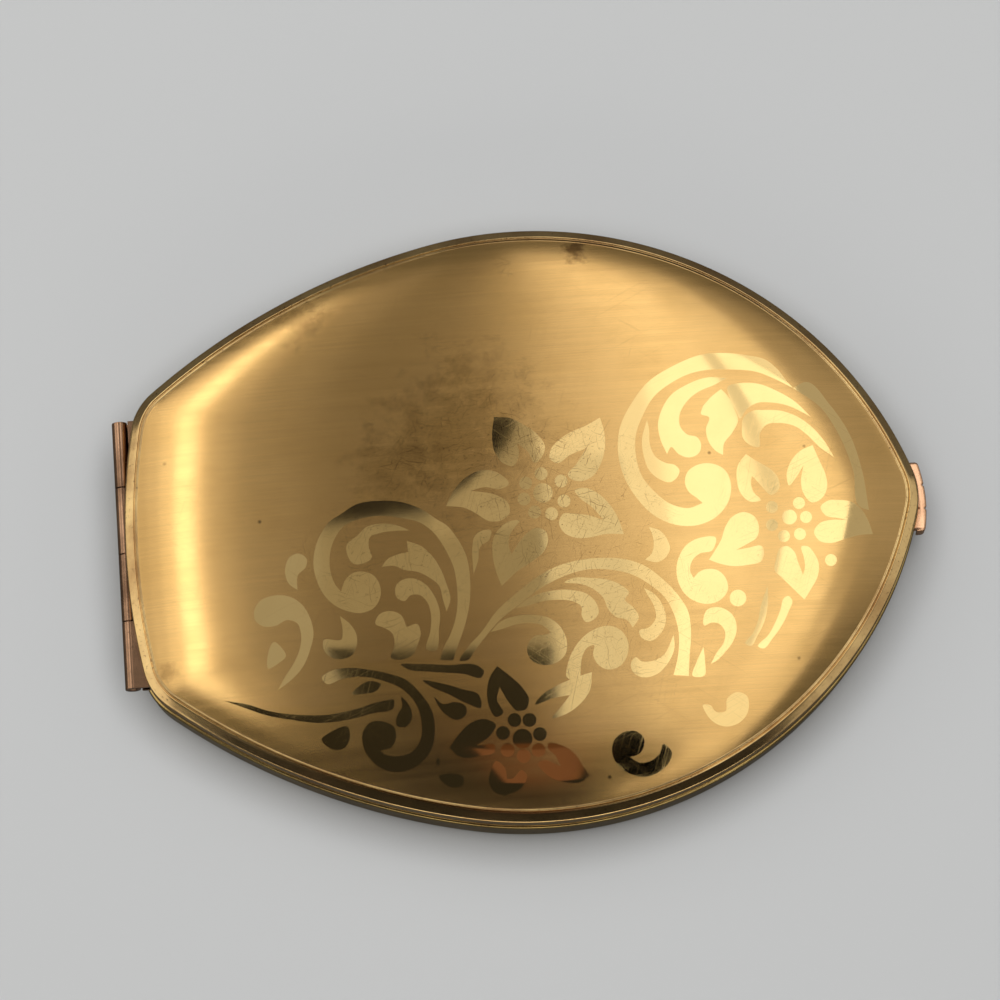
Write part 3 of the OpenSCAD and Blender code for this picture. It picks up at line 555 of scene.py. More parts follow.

# Ornament outlines on the lid, read off the photograph in pixels; a third 1 marks a corner
ornament = {
    "ringScroll": [
        (793, 388, 1), (785.7, 379.7), (776.8, 368.6), (766, 360), (745, 355), (725, 353), (705, 354), (671, 367),
        (648, 382), (632, 402.5), (619.6, 429), (618, 451), (623, 474), (636, 497), (653.6, 515), (677, 525),
        (698, 525), (716, 517), (728.6, 501), (731, 485), (725, 470), (714, 464), (700, 464), (687.5, 472),
        (685, 483), (689, 492), (697, 498), (702.7, 503, 1), (689, 508), (671, 504), (655, 492), (642, 476),
        (635.7, 454), (635.7, 436), (643, 415), (653.6, 397), (671, 383), (689, 374), (711, 369.5), (728.6, 369.5),
        (757, 372), (775, 379), (789, 386)],
    "ringTail": [
        (793, 388, 1), (805, 382), (830, 405), (850, 435), (862, 470), (869, 510, 1), (862, 508), (853, 470),
        (840, 437), (820, 407)],
    "ringInner": [
        (647, 420, 1), (642, 440), (643.8, 456), (649, 470), (659, 479), (671, 482), (677, 477.5), (679.5, 470),
        (675, 465), (666, 463), (655, 456), (650, 445), (649, 429)],
    "leafA": [
        (727, 378, 1), (707, 377.5), (686, 385), (671, 395), (661.6, 410), (658, 424), (660, 438), (667, 454, 1),
        (671, 447), (678.6, 454), (689, 457.5), (699, 453), (701, 443.6), (697, 437), (687.5, 434.6), (680, 426),
        (679.5, 415), (686, 402.5), (698, 392), (714, 385)],
    "leafB": [
        (721, 389, 1), (711, 397), (703, 406, 1), (701, 414), (709, 417), (706, 429), (708, 440), (716, 451),
        (723, 455, 1), (724, 443.6), (732, 433), (738, 420), (734, 408), (727, 395)],
    "leafC": [
        (727.7, 386.8), (741, 383), (757, 383.5), (777, 391), (795, 401.6), (811, 417, 1), (800, 411), (789, 406),
        (771, 402.5), (757, 403), (746, 410), (740, 418.6), (736, 411), (730, 399)],
    "leafD": [
        (742, 427.5), (743, 418.6), (752, 411), (764, 410), (782, 411), (798, 417), (814, 429), (825, 442),
        (834, 457, 1), (819.6, 447), (807, 434.6), (794.6, 426), (780, 423), (766, 425), (760, 433), (759, 447),
        (750, 445), (743, 438)],
    "rightPetalA": [
        (746, 454, 1), (738, 465), (737, 481), (741, 493.6), (750, 501.6), (761, 500), (753.6, 492), (751, 480),
        (752, 476, 1), (757, 481), (764, 489), (771, 495), (779, 489), (779, 480), (773, 471), (764, 465), (755, 460)],
    "rightPetalB": [
        (812.5, 445, 1), (800, 451), (790, 463), (786.6, 476), (789, 485.5), (796, 477.5), (803.6, 465, 1), (801, 481),
        (803.6, 493.6), (812.5, 502.5), (821, 499), (827, 488), (826, 476), (819.6, 461)],
    "rightPetalC": [
        (820.5, 507), (827, 501), (839, 500), (852, 502), (862, 510), (868, 520), (873, 534, 1), (860, 535),
        (845, 539), (830, 543), (820, 541), (814, 532), (820, 523), (830, 520), (847, 520, 1), (838, 518), (825, 515)],
    "rightPetalD": [
        (804.5, 599.5, 1), (794.6, 590), (784, 579.6), (774.7, 570), (776, 559.7), (781, 547.5), (787, 546),
        (794.6, 552), (797.7, 561), (802, 572), (803, 575, 1), (805, 567), (804, 558), (802, 546), (807, 546),
        (814.5, 553.6), (818.8, 564), (817.6, 576.5), (811, 589)],
    "rightPetalE": [
        (709, 559.7, 1), (715, 550.5), (721, 540), (725.7, 526), (732, 517), (744, 512), (755, 517), (759, 527.5),
        (757, 537), (747, 544), (736, 550, 1), (747, 548), (762.5, 546.7), (764, 553), (761.7, 560.5), (747, 565),
        (732, 566), (719.6, 563.5)],
    "crescent": [
        (649, 527, 1), (660, 530.6), (667.5, 540), (670, 547.5), (666, 557), (658, 562), (645, 559.7, 1),
        (651.5, 553.6), (653.8, 544), (652, 533.7)],
    "hookA": [
        (715.8, 537.5), (701, 537.5), (687.5, 544), (679, 556.6), (676.4, 570), (679, 584), (686, 595), (696.6, 601.8),
        (709, 603.8), (721, 599.5), (728, 588.8), (725.7, 578), (718, 570.4), (707, 569), (699, 572), (693.6, 578, 1),
        (690.5, 572), (692, 561), (699.7, 553.6), (712, 550.5)],
    "hookB": [
        (703.5, 618), (707, 610), (716.5, 607), (725.7, 609.4), (733.4, 616), (736.7, 628.6), (733.4, 640.8),
        (725.7, 651.5), (716.5, 660.7), (711, 663.8, 1), (716.5, 653), (724, 642), (725, 631.6), (719.6, 624),
        (712, 622.5), (704, 625.5)],
    "wedge": [(703.5, 647, 1), (705, 660.7), (704, 676), (692.8, 676), (696.6, 662)],
    "streakA": [
        (767.8, 585.7, 1), (767.8, 604), (764, 622.5), (757.9, 634.7), (750, 646), (745.6, 643.9), (753, 633),
        (757.9, 621), (761, 605.6), (765.5, 592)],
    "streakB": [
        (784, 598), (787.7, 595.7), (792, 599.5), (788.5, 611.7), (780.8, 627), (773, 637.8), (762.5, 648.5),
        (758.6, 647), (768.6, 634.7), (776, 621), (780.8, 608.7)],
    "lowLoop": [
        (725.7, 711), (727, 699), (738, 692), (747, 696), (749, 704), (747, 714), (738, 723.5), (725.7, 726.5),
        (713.5, 722), (705.8, 712.8), (702.8, 705), (710, 705), (716.5, 712)],
    "arch": [
        (468, 647), (480.7, 633), (496.8, 611), (516, 593.6), (534, 579), (555.7, 566.8), (577, 560.5), (602, 557.9),
        (627, 559.6), (645, 565.9), (661, 577.5), (677, 593.6), (688, 611), (691, 633), (689.6, 656), (688.8, 676, 1),
        (673.6, 675, 1), (678, 656), (679, 636), (675, 617), (666, 599), (650, 584.6), (630.7, 574), (609, 569.5),
        (584, 570), (563, 576.6), (541, 588), (520, 604), (500, 620), (486, 636), (473.6, 652.5), (468, 660),
        (460, 661)],
    "archLeafA": [
        (516, 608, 1), (530.7, 597), (550, 591), (571.8, 590), (588, 594.5), (596.8, 604), (598.6, 613), (593, 620),
        (586, 622), (581.6, 615), (581.6, 607), (573.6, 601.6), (559, 599.8), (541, 601.6), (527, 606)],
    "archLeafB": [
        (490.5, 632, 1), (500, 622), (516, 616), (534, 615), (548.6, 617.7), (561, 627.5), (567, 641.8), (565.5, 654),
        (555.7, 663), (543, 665), (532.5, 661), (527, 650.7), (529, 641.8), (536, 635.5), (545, 634.6), (550, 633),
        (543, 625.7), (530.7, 623), (514.6, 624.8), (502, 629)],
    "archLeafC": [
        (564.6, 582), (571.8, 578.4), (591, 578), (609, 580), (621.8, 585.5), (629, 592.7), (625, 599), (634, 608),
        (638.8, 616.8), (633, 627.5, 1), (627, 620), (616, 616.8), (607.5, 608), (604, 599), (595, 590), (580.7, 584)],
    "archLeafD": [
        (644, 588, 1), (654, 593.6), (663, 606), (666, 620), (661, 633), (650, 641), (641, 637), (639, 631),
        (648.6, 627.5), (655.7, 618.6), (654, 606), (647.7, 595)],
    "archLeafE": [
        (673.6, 634.6, 1), (674.5, 647), (668, 663), (655.7, 674.8), (641, 677), (633, 672), (631, 663), (636, 657),
        (641, 661), (652, 661), (664.6, 654), (670, 643.6)],
    "ballTail": [
        (567, 677.5), (568, 663), (575, 647), (588, 633), (598.6, 627.5), (609, 625.7), (621.8, 631), (628, 641.8),
        (627, 656), (620, 666), (607.5, 669.5), (596.8, 663), (593, 654), (594, 645), (588, 647), (582.5, 656),
        (580.7, 668.6), (579, 680)],
    "midPetalA": [
        (494, 417, 1), (510, 418), (524, 425), (538, 435), (545, 447), (541, 458), (535, 463), (528, 452),
        (517, 443, 1), (519, 455), (513, 466), (503, 463), (494, 450), (492, 436)],
    "midPetalB": [
        (600, 417.5, 1), (604, 431), (605, 446), (601, 463), (593, 475.8), (581.7, 481), (570.5, 478.6), (568, 475.8),
        (576, 464.5), (586, 448.4, 1), (570.5, 454.7), (556.5, 463), (550, 459), (551, 449), (558, 440.7), (569, 433),
        (587, 425)],
    "midPetalC": [
        (623.8, 534, 1), (618, 518), (608, 502.4), (594, 491), (583, 487.7), (574.7, 490.5), (580, 498), (591.5, 506.6),
        (603.5, 520, 1), (587, 515), (573, 513.7), (563.5, 513.7), (559, 522), (563.5, 532), (574.7, 537.5),
        (588.7, 537.5), (605.6, 534)],
    "midPetalD": [
        (501.7, 586, 1), (496, 571), (492.6, 554), (493, 540), (499, 529), (510, 521), (520, 520.7), (515.8, 526),
        (510, 534.7), (508.8, 546), (511.6, 554, 1), (518.6, 543), (527, 533), (536.8, 527.7), (545, 530.5),
        (548, 540), (543.8, 551.5), (532.6, 561), (515.8, 572.6), (507, 581)],
    "midPetalE": [
        (446, 506, 1), (454, 490), (468, 476), (482, 470), (500, 474), (509, 484), (500, 489), (485, 487),
        (470, 491, 1), (482, 492), (496, 495), (508, 503), (510, 512), (502, 520), (489, 521), (477, 514), (465, 508)],
    "drop": [
        (491, 530.5), (482, 530.5), (474, 537.5), (472.5, 546), (473.7, 574, 1), (478, 561), (480.7, 546), (489, 540)],
    "leftRing": [
        (330, 521), (339.5, 515), (356, 504.5), (381, 500.7), (405, 503), (424, 510.6), (437.5, 519.8), (445, 524),
        (457, 538), (466.5, 556.5), (470, 578), (469.6, 602.5), (465, 625), (457, 648), (453, 660.6, 1), (440, 660, 1),
        (443.6, 648), (451, 633), (457, 610), (457, 587), (454, 568.8), (445, 549), (433, 532), (420.6, 523),
        (400.7, 518), (385, 516), (370, 516.7), (354.8, 520.6), (344, 526), (335, 538), (330, 553.5), (330, 568.8),
        (335, 584), (341, 591.7, 1), (345.6, 579.5), (353, 573), (362.5, 571.5), (373, 575), (380, 585.6), (380, 598),
        (373, 608.6), (361, 613), (347, 611), (335, 605.5), (322.7, 593), (316.5, 579.5), (313.5, 565.7), (315, 549),
        (321, 533.6)],
    "leftLeafA": [
        (358, 535), (365.5, 527.5), (381, 523.6), (396, 525), (410, 530.5, 1), (393, 531), (378, 533.6), (370, 537),
        (368.6, 545.8), (371.6, 558), (362.5, 564), (353, 563.4), (348, 556.5), (346.4, 545.8)],
    "leftLeafB": [
        (381.6, 567, 1), (387, 559.6), (399, 554), (408, 552, 1), (406.8, 541, 1), (420.6, 545.8), (430, 553.5),
        (440.5, 568.8), (446.6, 584), (450.5, 599), (446.6, 611.6, 1), (442.8, 599), (439, 585.6), (430, 578),
        (417.6, 571.8), (405, 570), (393, 565.7)],
    "leftLeafC": [
        (396, 585.6), (402, 580), (414.5, 578.7), (425, 584), (434.4, 596), (439.8, 611.6), (439, 628.5), (434.4, 651),
        (427.5, 650), (430.6, 630), (431, 614.7), (427.5, 602.5), (419, 594.8), (410, 595.6), (405, 601),
        (397.7, 598.6)],
    "leftLeafD": [
        (375.5, 624), (379, 614.7), (390, 611), (400.7, 614.7), (406.8, 627, 1), (417.6, 624), (420.6, 631.5),
        (417.6, 645), (413, 654.5), (405, 659), (390.8, 657.6), (394.6, 645), (392, 633), (384, 627.7)],
    "leftLeafE": [
        (340, 616, 1), (350, 624), (356, 633), (357, 643.8), (352.5, 654.5), (342.6, 659), (330, 656.8), (323.4, 648.4),
        (323.4, 640.7), (341.8, 639), (342.6, 630)],
    "leftLeafF": [
        (290.5, 556.5), (298, 553.5), (307, 559.6), (305.8, 567), (298, 575), (297.4, 590, 1), (289, 584),
        (285, 571.8)],
    "leftArc": [
        (253.8, 613), (260, 601), (273.7, 595.6), (290.5, 597), (302.8, 605.5), (310, 617.8), (313.5, 633), (310, 650),
        (302.8, 667), (290, 681), (278, 690, 1), (285, 677), (294, 663), (300, 648), (301, 634), (297, 623), (288, 620),
        (275, 626), (262, 626), (255, 620)],
    "leftChip": [(275, 642), (281, 647), (286, 656), (278, 663.7), (269, 669)],
    "stem": [
        (224, 700.8, 1), (246, 704), (269, 711), (296, 714.6), (328.6, 714.6), (356, 709), (383.7, 700.8), (394, 700),
        (394, 706.6), (372, 713.5), (347, 720), (319, 723), (292, 720), (264, 714.6), (241, 706.6)],
    "stemLeaf": [
        (321.7, 740), (331, 731.8), (348, 727), (349.7, 738.7), (344.6, 748), (335, 750), (327, 746.7)],
    "scroll": [
        (321.7, 678), (328.6, 672), (347, 668), (370, 669.8), (390.5, 674), (406.6, 680), (420, 692.8), (432, 711),
        (435, 729.5), (432, 748), (420, 764), (402, 772), (383.7, 769.7), (370, 759), (363, 745.6), (363, 731.8),
        (370, 722.6), (383.7, 721.5), (394, 727), (396, 738.7), (390.5, 748), (381, 751), (386, 754.8), (397, 756),
        (411, 752.5), (420, 741), (421.5, 722.6), (415.8, 704), (402, 689), (383.7, 681), (360.7, 676.7), (342, 679),
        (326, 683.6)],
    "scrollLeafA": [(351.5, 694), (358, 687), (370, 681), (381, 684.8), (376.8, 690.5), (363, 694)],
    "scrollLeafB": [(401, 697), (410, 706.6), (412, 718), (405.5, 727), (397, 726), (397, 715.8), (402, 706.6)],
    "bladeA": [
        (401, 665), (420, 664), (448, 665), (480, 667), (484, 671), (482, 676.7), (464, 674), (429.6, 671.7),
        (406.6, 668.7)],
    "bladeB": [
        (422.7, 681), (443, 683.6), (461.7, 689), (479, 695), (481, 707.7), (466, 703), (448, 694), (429.6, 686)],
    "bladeC": [
        (434, 697), (443, 704), (454.8, 702), (466, 706.6), (466, 714.6), (457, 720), (445.6, 714.6), (438.7, 706.6)],
    "dropLow": [(438, 757), (440, 762), (438, 767), (436, 762)],
    "bladeD": [(438.7, 777), (464, 778), (463, 785), (455, 788), (446, 785)],
    "lowPetalA": [
        (497, 666, 1), (507.6, 674), (521, 686), (529, 699.7), (526, 709), (516.8, 710.7), (510, 704), (499.6, 687, 1),
        (497, 699.7), (503, 713.5), (496, 717), (489, 706.6), (487, 692.8), (490, 676.7)],
    "lowPetalB": [
        (535, 704), (543, 694), (556, 686), (574, 678), (592, 672, 1), (590, 690), (580, 704), (566, 714), (552, 718),
        (560, 708), (570, 695, 1), (554, 698)],
    "lowPetalC": [
        (548, 744), (561, 745), (574, 752.7), (583, 765.8), (589.6, 775.5, 1), (581, 782), (563.6, 782), (548, 775.5),
        (538.7, 762.5), (544, 760), (557, 764.7), (561, 765.8, 1), (555, 755), (548, 748)],
    "lowPetalD": [
        (496, 761), (505, 768), (507, 778.8, 1), (511.6, 778.8), (522.4, 770), (526.7, 774.4), (522.4, 787),
        (505, 796, 1), (494, 791.8), (488.8, 782), (491, 770)],
    "lowPetalE": [
        (449, 748, 1), (459, 734), (471, 722.6), (484.7, 719), (496, 725), (491.6, 734), (476.6, 745.6, 1),
        (495, 745.6), (495, 751), (480, 756), (460, 757)],
    "curl": [
        (663, 744), (672, 752.7), (669.8, 761), (659, 772), (643.8, 777), (628.6, 773), (616.7, 763.6), (612, 750.6),
        (614.5, 739.7), (624, 732), (635, 731), (643.8, 737.6), (644, 746), (639.5, 753.8), (629.7, 757, 1),
        (639.5, 762.5), (652.5, 760), (660, 752.7)],
}
beads = [
    (789.5, 517, 7.5), (799, 503, 6), (806, 517, 6), (800, 534, 6), (784, 536, 6), (772, 525, 6), (772, 507, 6),
    (738, 598, 8.4), (831, 560, 6),
    (543, 493, 9.8), (525.6, 483, 6.5), (541, 473.7, 6.5), (561, 481, 6.5), (564, 501, 6.5), (551.5, 513.7, 6.5),
    (534.7, 512, 6.5), (524, 499, 6.5),
    (522.5, 738.7, 10), (514.5, 720, 7), (529.4, 720, 7), (503, 733, 7), (539.8, 734, 7), (507.6, 750, 7),
    (523.7, 756, 7), (538.6, 750, 7)]
lid = {"sample": 2.2, "beadPoints": 20, "ringShares": (0.985, 0.75, -0.016), "grid": 0.85, "rowShare": 0.87,
       "gridShare": 0.745, "cell": 0.3, "join": 2e-7, "planScale": 0.01, "sharp": 30}


# Closed smooth curve through points, broken at corners, sampled about every step
def closedCurve(points, step):
    n = len(points)
    p = np.array([q[:2] for q in points], float)
    corner = [len(q) > 2 for q in points]
    curve = []
    for i in range(n):
        a, b, before, after = p[i], p[(i + 1) % n], p[i - 1], p[(i + 2) % n]
        chord = np.linalg.norm(b - a)

        def slope(prev, here, nxt, sharp, other):
            if sharp:
                return (other - here) if other is nxt else (here - other)
            d0, d1 = np.linalg.norm(here - prev), np.linalg.norm(nxt - here)
            return ((here - prev) / d0 * d1 + (nxt - here) / d1 * d0) / (d0 + d1) * chord

        m0 = slope(before, a, b, corner[i], b)
        m1 = slope(a, b, after, corner[(i + 1) % n], a)
        k = max(1, round(chord / step))
        for t in np.arange(k) / k:
            curve.append((2 * t ** 3 - 3 * t ** 2 + 1) * a + (t ** 3 - 2 * t ** 2 + t) * m0
                         + (3 * t ** 2 - 2 * t ** 3) * b + (t ** 3 - t ** 2) * m1)
    return np.array(curve)


def insidePolygon(points, polygon):
    inside = np.zeros(len(points), bool)
    low, high = polygon.min(axis=0), polygon.max(axis=0)
    near = np.nonzero(((points >= low) & (points <= high)).all(axis=1))[0]
    x, y = points[near, 0], points[near, 1]
    hit = np.zeros(len(near), bool)
    for (x0, y0), (x1, y1) in zip(polygon, np.roll(polygon, -1, axis=0)):
        crosses = (y0 > y) != (y1 > y)
        if y0 != y1:
            hit ^= crosses & (x < (x1 - x0) * (y - y0) / (y1 - y0) + x0)
    inside[near] = hit
    return inside


motifs = [ontoPanel(closedCurve(points, lid["sample"])) for points in ornament.values()]
for cx, cy, radius in beads:
    a = np.arange(lid["beadPoints"]) * 2 * pi / lid["beadPoints"]
    motifs.append(ontoPanel(np.c_[cx + radius * np.cos(a), cy + radius * np.sin(a)]))

# The panel: its edge and the motifs are fixed lines of one triangulation with a grid of points between them
edge = outline(panelInset)
plan, lines = [tuple(p) for p in edge], [(i, (i + 1) % len(edge)) for i in range(len(edge))]
for motif in motifs:
    start = len(plan)
    plan += [tuple(p) for p in motif]
    lines += [(start + i, start + (i + 1) % len(motif)) for i in range(len(motif))]
for share in np.arange(*lid["ringShares"]):
    plan += [tuple(p) for p in edge[::2] * share]
g = lid["grid"]
rows = np.arange(-halfWidth, halfWidth, g * lid["rowShare"])
gridPoints = np.array([(x + g / 2 * (j % 2), y) for j, y in enumerate(rows) for x in np.arange(endX, tipX, g)])
gridPoints = gridPoints[domeShare(gridPoints[:, 0], gridPoints[:, 1]) < lid["gridShare"]]


def cellOf(x, y):
    return round(x / lid["cell"]), round(y / lid["cell"])


def isFree(x, y):
    i, j = cellOf(x, y)
    return not any((i + k, j + m) in taken for k in (-1, 0, 1) for m in (-1, 0, 1))


taken = {cellOf(x, y) for x, y in plan}
plan += [tuple(p) for p in gridPoints if isFree(*p)]
flat, _, triangles, _, _, _ = geometry.delaunay_2d_cdt(
    [Vector((float(x), float(y))) for x, y in plan], lines, [], 0, 1e-6)
flat = np.array([(v.x, v.y) for v in flat])
middles = np.array([flat[list(t)].mean(axis=0) for t in triangles])
keep = insidePolygon(middles, edge)
polished = np.zeros(len(triangles), bool)
for motif in motifs:
    polished |= insidePolygon(middles, motif)
panelPoints = np.c_[flat, domeHeight(flat[:, 0], flat[:, 1])]
atEdge = np.array([np.hypot(*(edge - p).T).min() < 1e-5 for p in flat])
panelPoints[atEdge, 2] = panelZ

# The flange has a small round, a straight slope and a narrow crest, with a groove and a thin raised line inside it
flange = {"round": 0.3, "slope": 32, "skirt": (0, 0.5, 1.2), "underSheet": 1.1, "underInset": 0.65,
          "underShares": (1, 0.94, 0.86, 0.74, 0.56, 0.3)}
rimLine = (
    (0.08, -0.03), (0.14, -0.07), (0.2, -0.09), (0.26, -0.085), (0.32, -0.05), (0.37, 0.0), (0.42, 0.035),
    (0.47, 0.055), (0.53, 0.06), (0.59, 0.05), (0.66, 0.03), (0.74, 0.012), (0.86, 0.002), (1, 0))
slope, w, h = radians(flange["slope"]), case["flangeWidth"], case["flangeRise"]
crest = flange["round"] * cos(slope) + (w - flange["round"] * (1 - sin(slope))) * sin(slope) / cos(slope) - h
crest /= 1 / cos(slope) - 1
profile = [(flange["round"] * (1 - cos(a)), flange["round"] * sin(a)) for a in np.linspace(0, pi / 2 - slope, 7)]
(x0, z0), x1 = profile[-1], w - crest * sin(slope)
profile += [(x0 + (x1 - x0) * t, z0 + (x1 - x0) * t * sin(slope) / cos(slope)) for t in (0.25, 0.5, 0.75)]
profile += [(w - crest * sin(a), h - crest * (1 - cos(a))) for a in np.linspace(slope, 0, 6)]
outer = [ringAt(0, lidZ + z) for z in flange["skirt"]] + [ringAt(x, flangeZ + z) for x, z in profile]
outer += [ringAt(case["flangeWidth"] + case["lineWidth"] * t, panelZ + z) for t, z in rimLine]
drop = case["sheet"] * flange["underSheet"]
inner = [ringAt(case["sheet"], lidZ), ringAt(case["sheet"], flangeZ),
         ringAt(case["flangeWidth"] * flange["underInset"], panelZ - drop)]
inner += [[(x * s, y * s, panelZ - drop + domeRise(s)) for x, y in edge] for s in flange["underShares"]]
points, faces = skinParts(outer[::-1] + inner, None, (0, 0, topZ - drop))
outerFaces = (len(outer) - 1) * len(edge)
slots = [0] * outerFaces + [3] * (len(faces) - outerFaces) + [2 if q else 1 for q, k in zip(polished, keep) if k]
offset = len(points)
points += [tuple(p) for p in panelPoints]
panelFaces = [tuple(i + offset for i in t) for t, k in zip(triangles, keep) if k]
lidShell = makeObject("lidShell", points, [f[::-1] for f in faces] + panelFaces)
for m in (rimBrass, satinBrass, polishBrass, innerBrass):
    lidShell.data.materials.append(m)
lidShell.data.polygons.foreach_set("material_index", slots)
tidyMesh(lidShell, False, lid["join"])
reach = case["barrelWidth"] / 2 + case["slideFit"]
gapY = case["barrelLength"] / 2 + case["knuckleGap"]
hingeGap = (hingeX - 1, -gapY, hingeZ - reach), (hingeX + case["leafReach"], gapY, hingeZ + reach)
cutBox(lidShell, *hingeGap)
mesh = lidShell.data
loopVerts = readAll(mesh.loops, "vertex_index", kind=int)
where = readAll(mesh.vertices, "co", 3) / mm
planMap = mesh.uv_layers.new(name="plan")
planMap.data.foreach_set("uv", (where[loopVerts][:, 1::-1] * lid["planScale"]).ravel())
smoothBy(lidShell, lid["sharp"])
looks = np.repeat(readAll(mesh.polygons, "material_index", kind=int), readAll(mesh.polygons, "loop_total", kind=int))
domed = np.isin(looks, (1, 2))
normals = np.zeros((len(mesh.loops), 3))
normals[domed] = domeNormal(where[:, 0], where[:, 1])[loopVerts[domed]]
mesh.normals_split_custom_set([tuple(n) for n in normals])
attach(lidShell, "lid")
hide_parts("lid_shell")

print("stage: base")
foot = np.linspace(0, pi / 2, 9)
bead = np.linspace(0, pi, 15)
footIn = case["footRadius"] - case["sheet"]
inside = [ringAt(case["sheet"] + footIn * (1 - sin(a)), case["sheet"] + footIn * (1 - cos(a)), baseStep) for a in foot]
inside.append(ringAt(case["sheet"], case["baseHeight"], baseStep))
outside = [ringAt(-case["beadProud"] * sin(a), case["baseHeight"] - case["beadHeight"] * (1 - cos(a)) / 2, baseStep)
           for a in bead]
outside += [ringAt(case["footRadius"] * (1 - cos(a)), case["footRadius"] * (1 - sin(a)), baseStep) for a in foot]
points, faces = skinParts(inside + outside, (0, 0, case["sheet"]), (0, 0, 0))
baseShell = tidyMesh(makeObject("baseShell", points, [f[::-1] for f in faces]), False)
baseShell.data.materials.append(shadedBaseBrass)
cutBox(baseShell, *hingeGap)
thumbSlot = {"half": 4.17, "low": 3.935, "high": 5.06, "deep": 1.6}
cutBox(baseShell, (tipX - thumbSlot["deep"], -thumbSlot["half"], thumbSlot["low"]),
       (tipX + 1, thumbSlot["half"], thumbSlot["high"]))
smoothBy(baseShell, 30)
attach(baseShell, "case")
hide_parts("base_shell")

print("stage: fittings")


# Rounded edges and even shading
def soften(obj, width=0.06, segments=2, angle=32):
    obj.data.shade_smooth()
    edge = obj.modifiers.new("edge", "BEVEL")
    edge.width, edge.segments, edge.limit_method, edge.angle_limit = width * mm, segments, "ANGLE", radians(angle)
    even = obj.modifiers.new("even", "WEIGHTED_NORMAL")
    even.keep_sharp = True
    return bake(obj)


def fit(obj, look, body, slot, *nodes):
    obj.data.materials.clear()
    obj.data.materials.append(look)
    obj.data.polygons.foreach_set("material_index", [0] * len(obj.data.polygons))
    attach(obj, body)
    if nodes:
        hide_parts(*nodes)
    return obj


def refine(name, source, look, body, slot, width=0.06, segments=2):
    obj = tidyMesh(link(name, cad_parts[source].data.copy()))
    return fit(soften(obj, width, segments), look, body, slot, source)


# A closed prism along Y of a profile given as x, z
def prism(name, profile, y0, y1):
    n = len(profile)
    points = [(x, y, z) for y in (y0, y1) for x, z in profile]
    faces = [tuple(range(n)), tuple(range(2 * n - 1, n - 1, -1))]
    faces += [(i, i + n, (i + 1) % n + n, (i + 1) % n) for i in range(n)]
    return tidyMesh(makeObject(name, points, faces), False)


def block(name, low, high):
    return prism(name, [(low[0], low[2]), (high[0], low[2]), (high[0], high[2]), (low[0], high[2])], low[1], high[1])


# A closed form turned about Z from a profile of radius and height; a radius of 0 closes it
def turned(name, profile, centre=(0, 0), steps=160):
    rings = [[(centre[0] + r * cos(a), centre[1] + r * sin(a), z) for a in np.arange(steps) * 2 * pi / steps]
             for r, z in profile if r > 0]
    closed = profile[0][0] > 0
    first = None if closed else (centre[0], centre[1], profile[0][1])
    last = None if closed else (centre[0], centre[1], profile[-1][1])
    points, faces = skinParts(rings + rings[:1] if closed else rings, first, last)
    return tidyMesh(makeObject(name, points, faces), False)


hinge = {"bore": 0.44, "leafIn": 0.475, "leafOut": 0.875, "overlap": 1.6, "tuck": 0.25, "rollEnd": 292, "steps": 30,
         "round": 0.05, "sharp": 40}


# A leaf with two knuckles rolled from its sheet; side is -1 for the base's leaf and 1 for the lid's
def rolledLeaf(name, source, first, side, body):
    r, bore = case["barrelWidth"] / 2, hinge["bore"]
    start = -acos(hinge["leafOut"] / r)
    outerTurns = np.linspace(start, radians(hinge["rollEnd"]), hinge["steps"])
    innerTurns = np.linspace(radians(hinge["rollEnd"]), 0, hinge["steps"])
    profile = [(hinge["overlap"], hinge["leafOut"])] + [(-r * sin(a), r * cos(a)) for a in outerTurns]
    profile += [(-bore * sin(a), bore * cos(a)) for a in innerTurns]
    profile += [(hinge["tuck"], hinge["leafIn"]), (hinge["overlap"], hinge["leafIn"])]
    profile = [(hingeX + u, hingeZ + side * w) for u, w in profile]
    long = case["barrelLength"] - case["knuckleGap"]
    z0, z1 = sorted((hingeZ + side * hinge["leafIn"], hingeZ + side * hinge["leafOut"]))
    leaf = block(name, (hingeX + case["barrelWidth"] / 2 + case["slideFit"], -long / 2, z0),
                 (hingeX + case["leafReach"], long / 2, z1))
    pitch = case["barrelLength"] / 4
    for i in (first, first + 2):
        middle = case["barrelLength"] / 2 - pitch * (i + 0.5)
        half = (pitch - case["knuckleGap"]) / 2
        fuse(leaf, prism("knuckle", profile, middle - half, middle + half))
    return fit(soften(tidyMesh(leaf), hinge["round"], 2, hinge["sharp"]), hingeBrass, body, "hinge_brass", source)


rolledLeaf("baseLeaf", "base_hinge_leaf", 0, -1, "case")
rolledLeaf("lidLeaf", "lid_hinge_leaf", 1, 1, "lid")

thumb = {
    "width": 8.7, "out": 1.24, "gap": 0.62, "height": 2.2, "top": 5.03, "grooves": (-1.55, 1.4), "groove": 0.17,
    "faceRadius": 18, "corner": 0.26, "innerCorner": 0.03, "endRound": 0.45, "endDraw": 0.55, "endIn": 0.35,
    "endOut": 0.9, "stations": 81, "stemWidth": 3.8, "tongueWidth": 5, "tongueLow": 4.055, "tongueTop": 4.555,
    "tail": 38.95, "rivetX": 43.51, "rivetWidth": 1.0, "ledgeWidth": 8.1, "ledgeGap": 0.06, "ledgeCorner": 0.02,
    "notches": ((1.4, 0.24, 0.35), (0.5, 0.18, 0.3), (-1.55, 0.34, 0.45)), "drill": (3, 6),
}


# X of the outline grown outwards, at a place along Y near the tip
def tipEdge(grown, y):
    near = outline(-grown, fineStep)
    near = near[(near[:, 0] > 0) & (abs(near[:, 1]) < 12)]
    near = near[np.argsort(near[:, 1])]
    return np.interp(y, near[:, 1], near[:, 0])


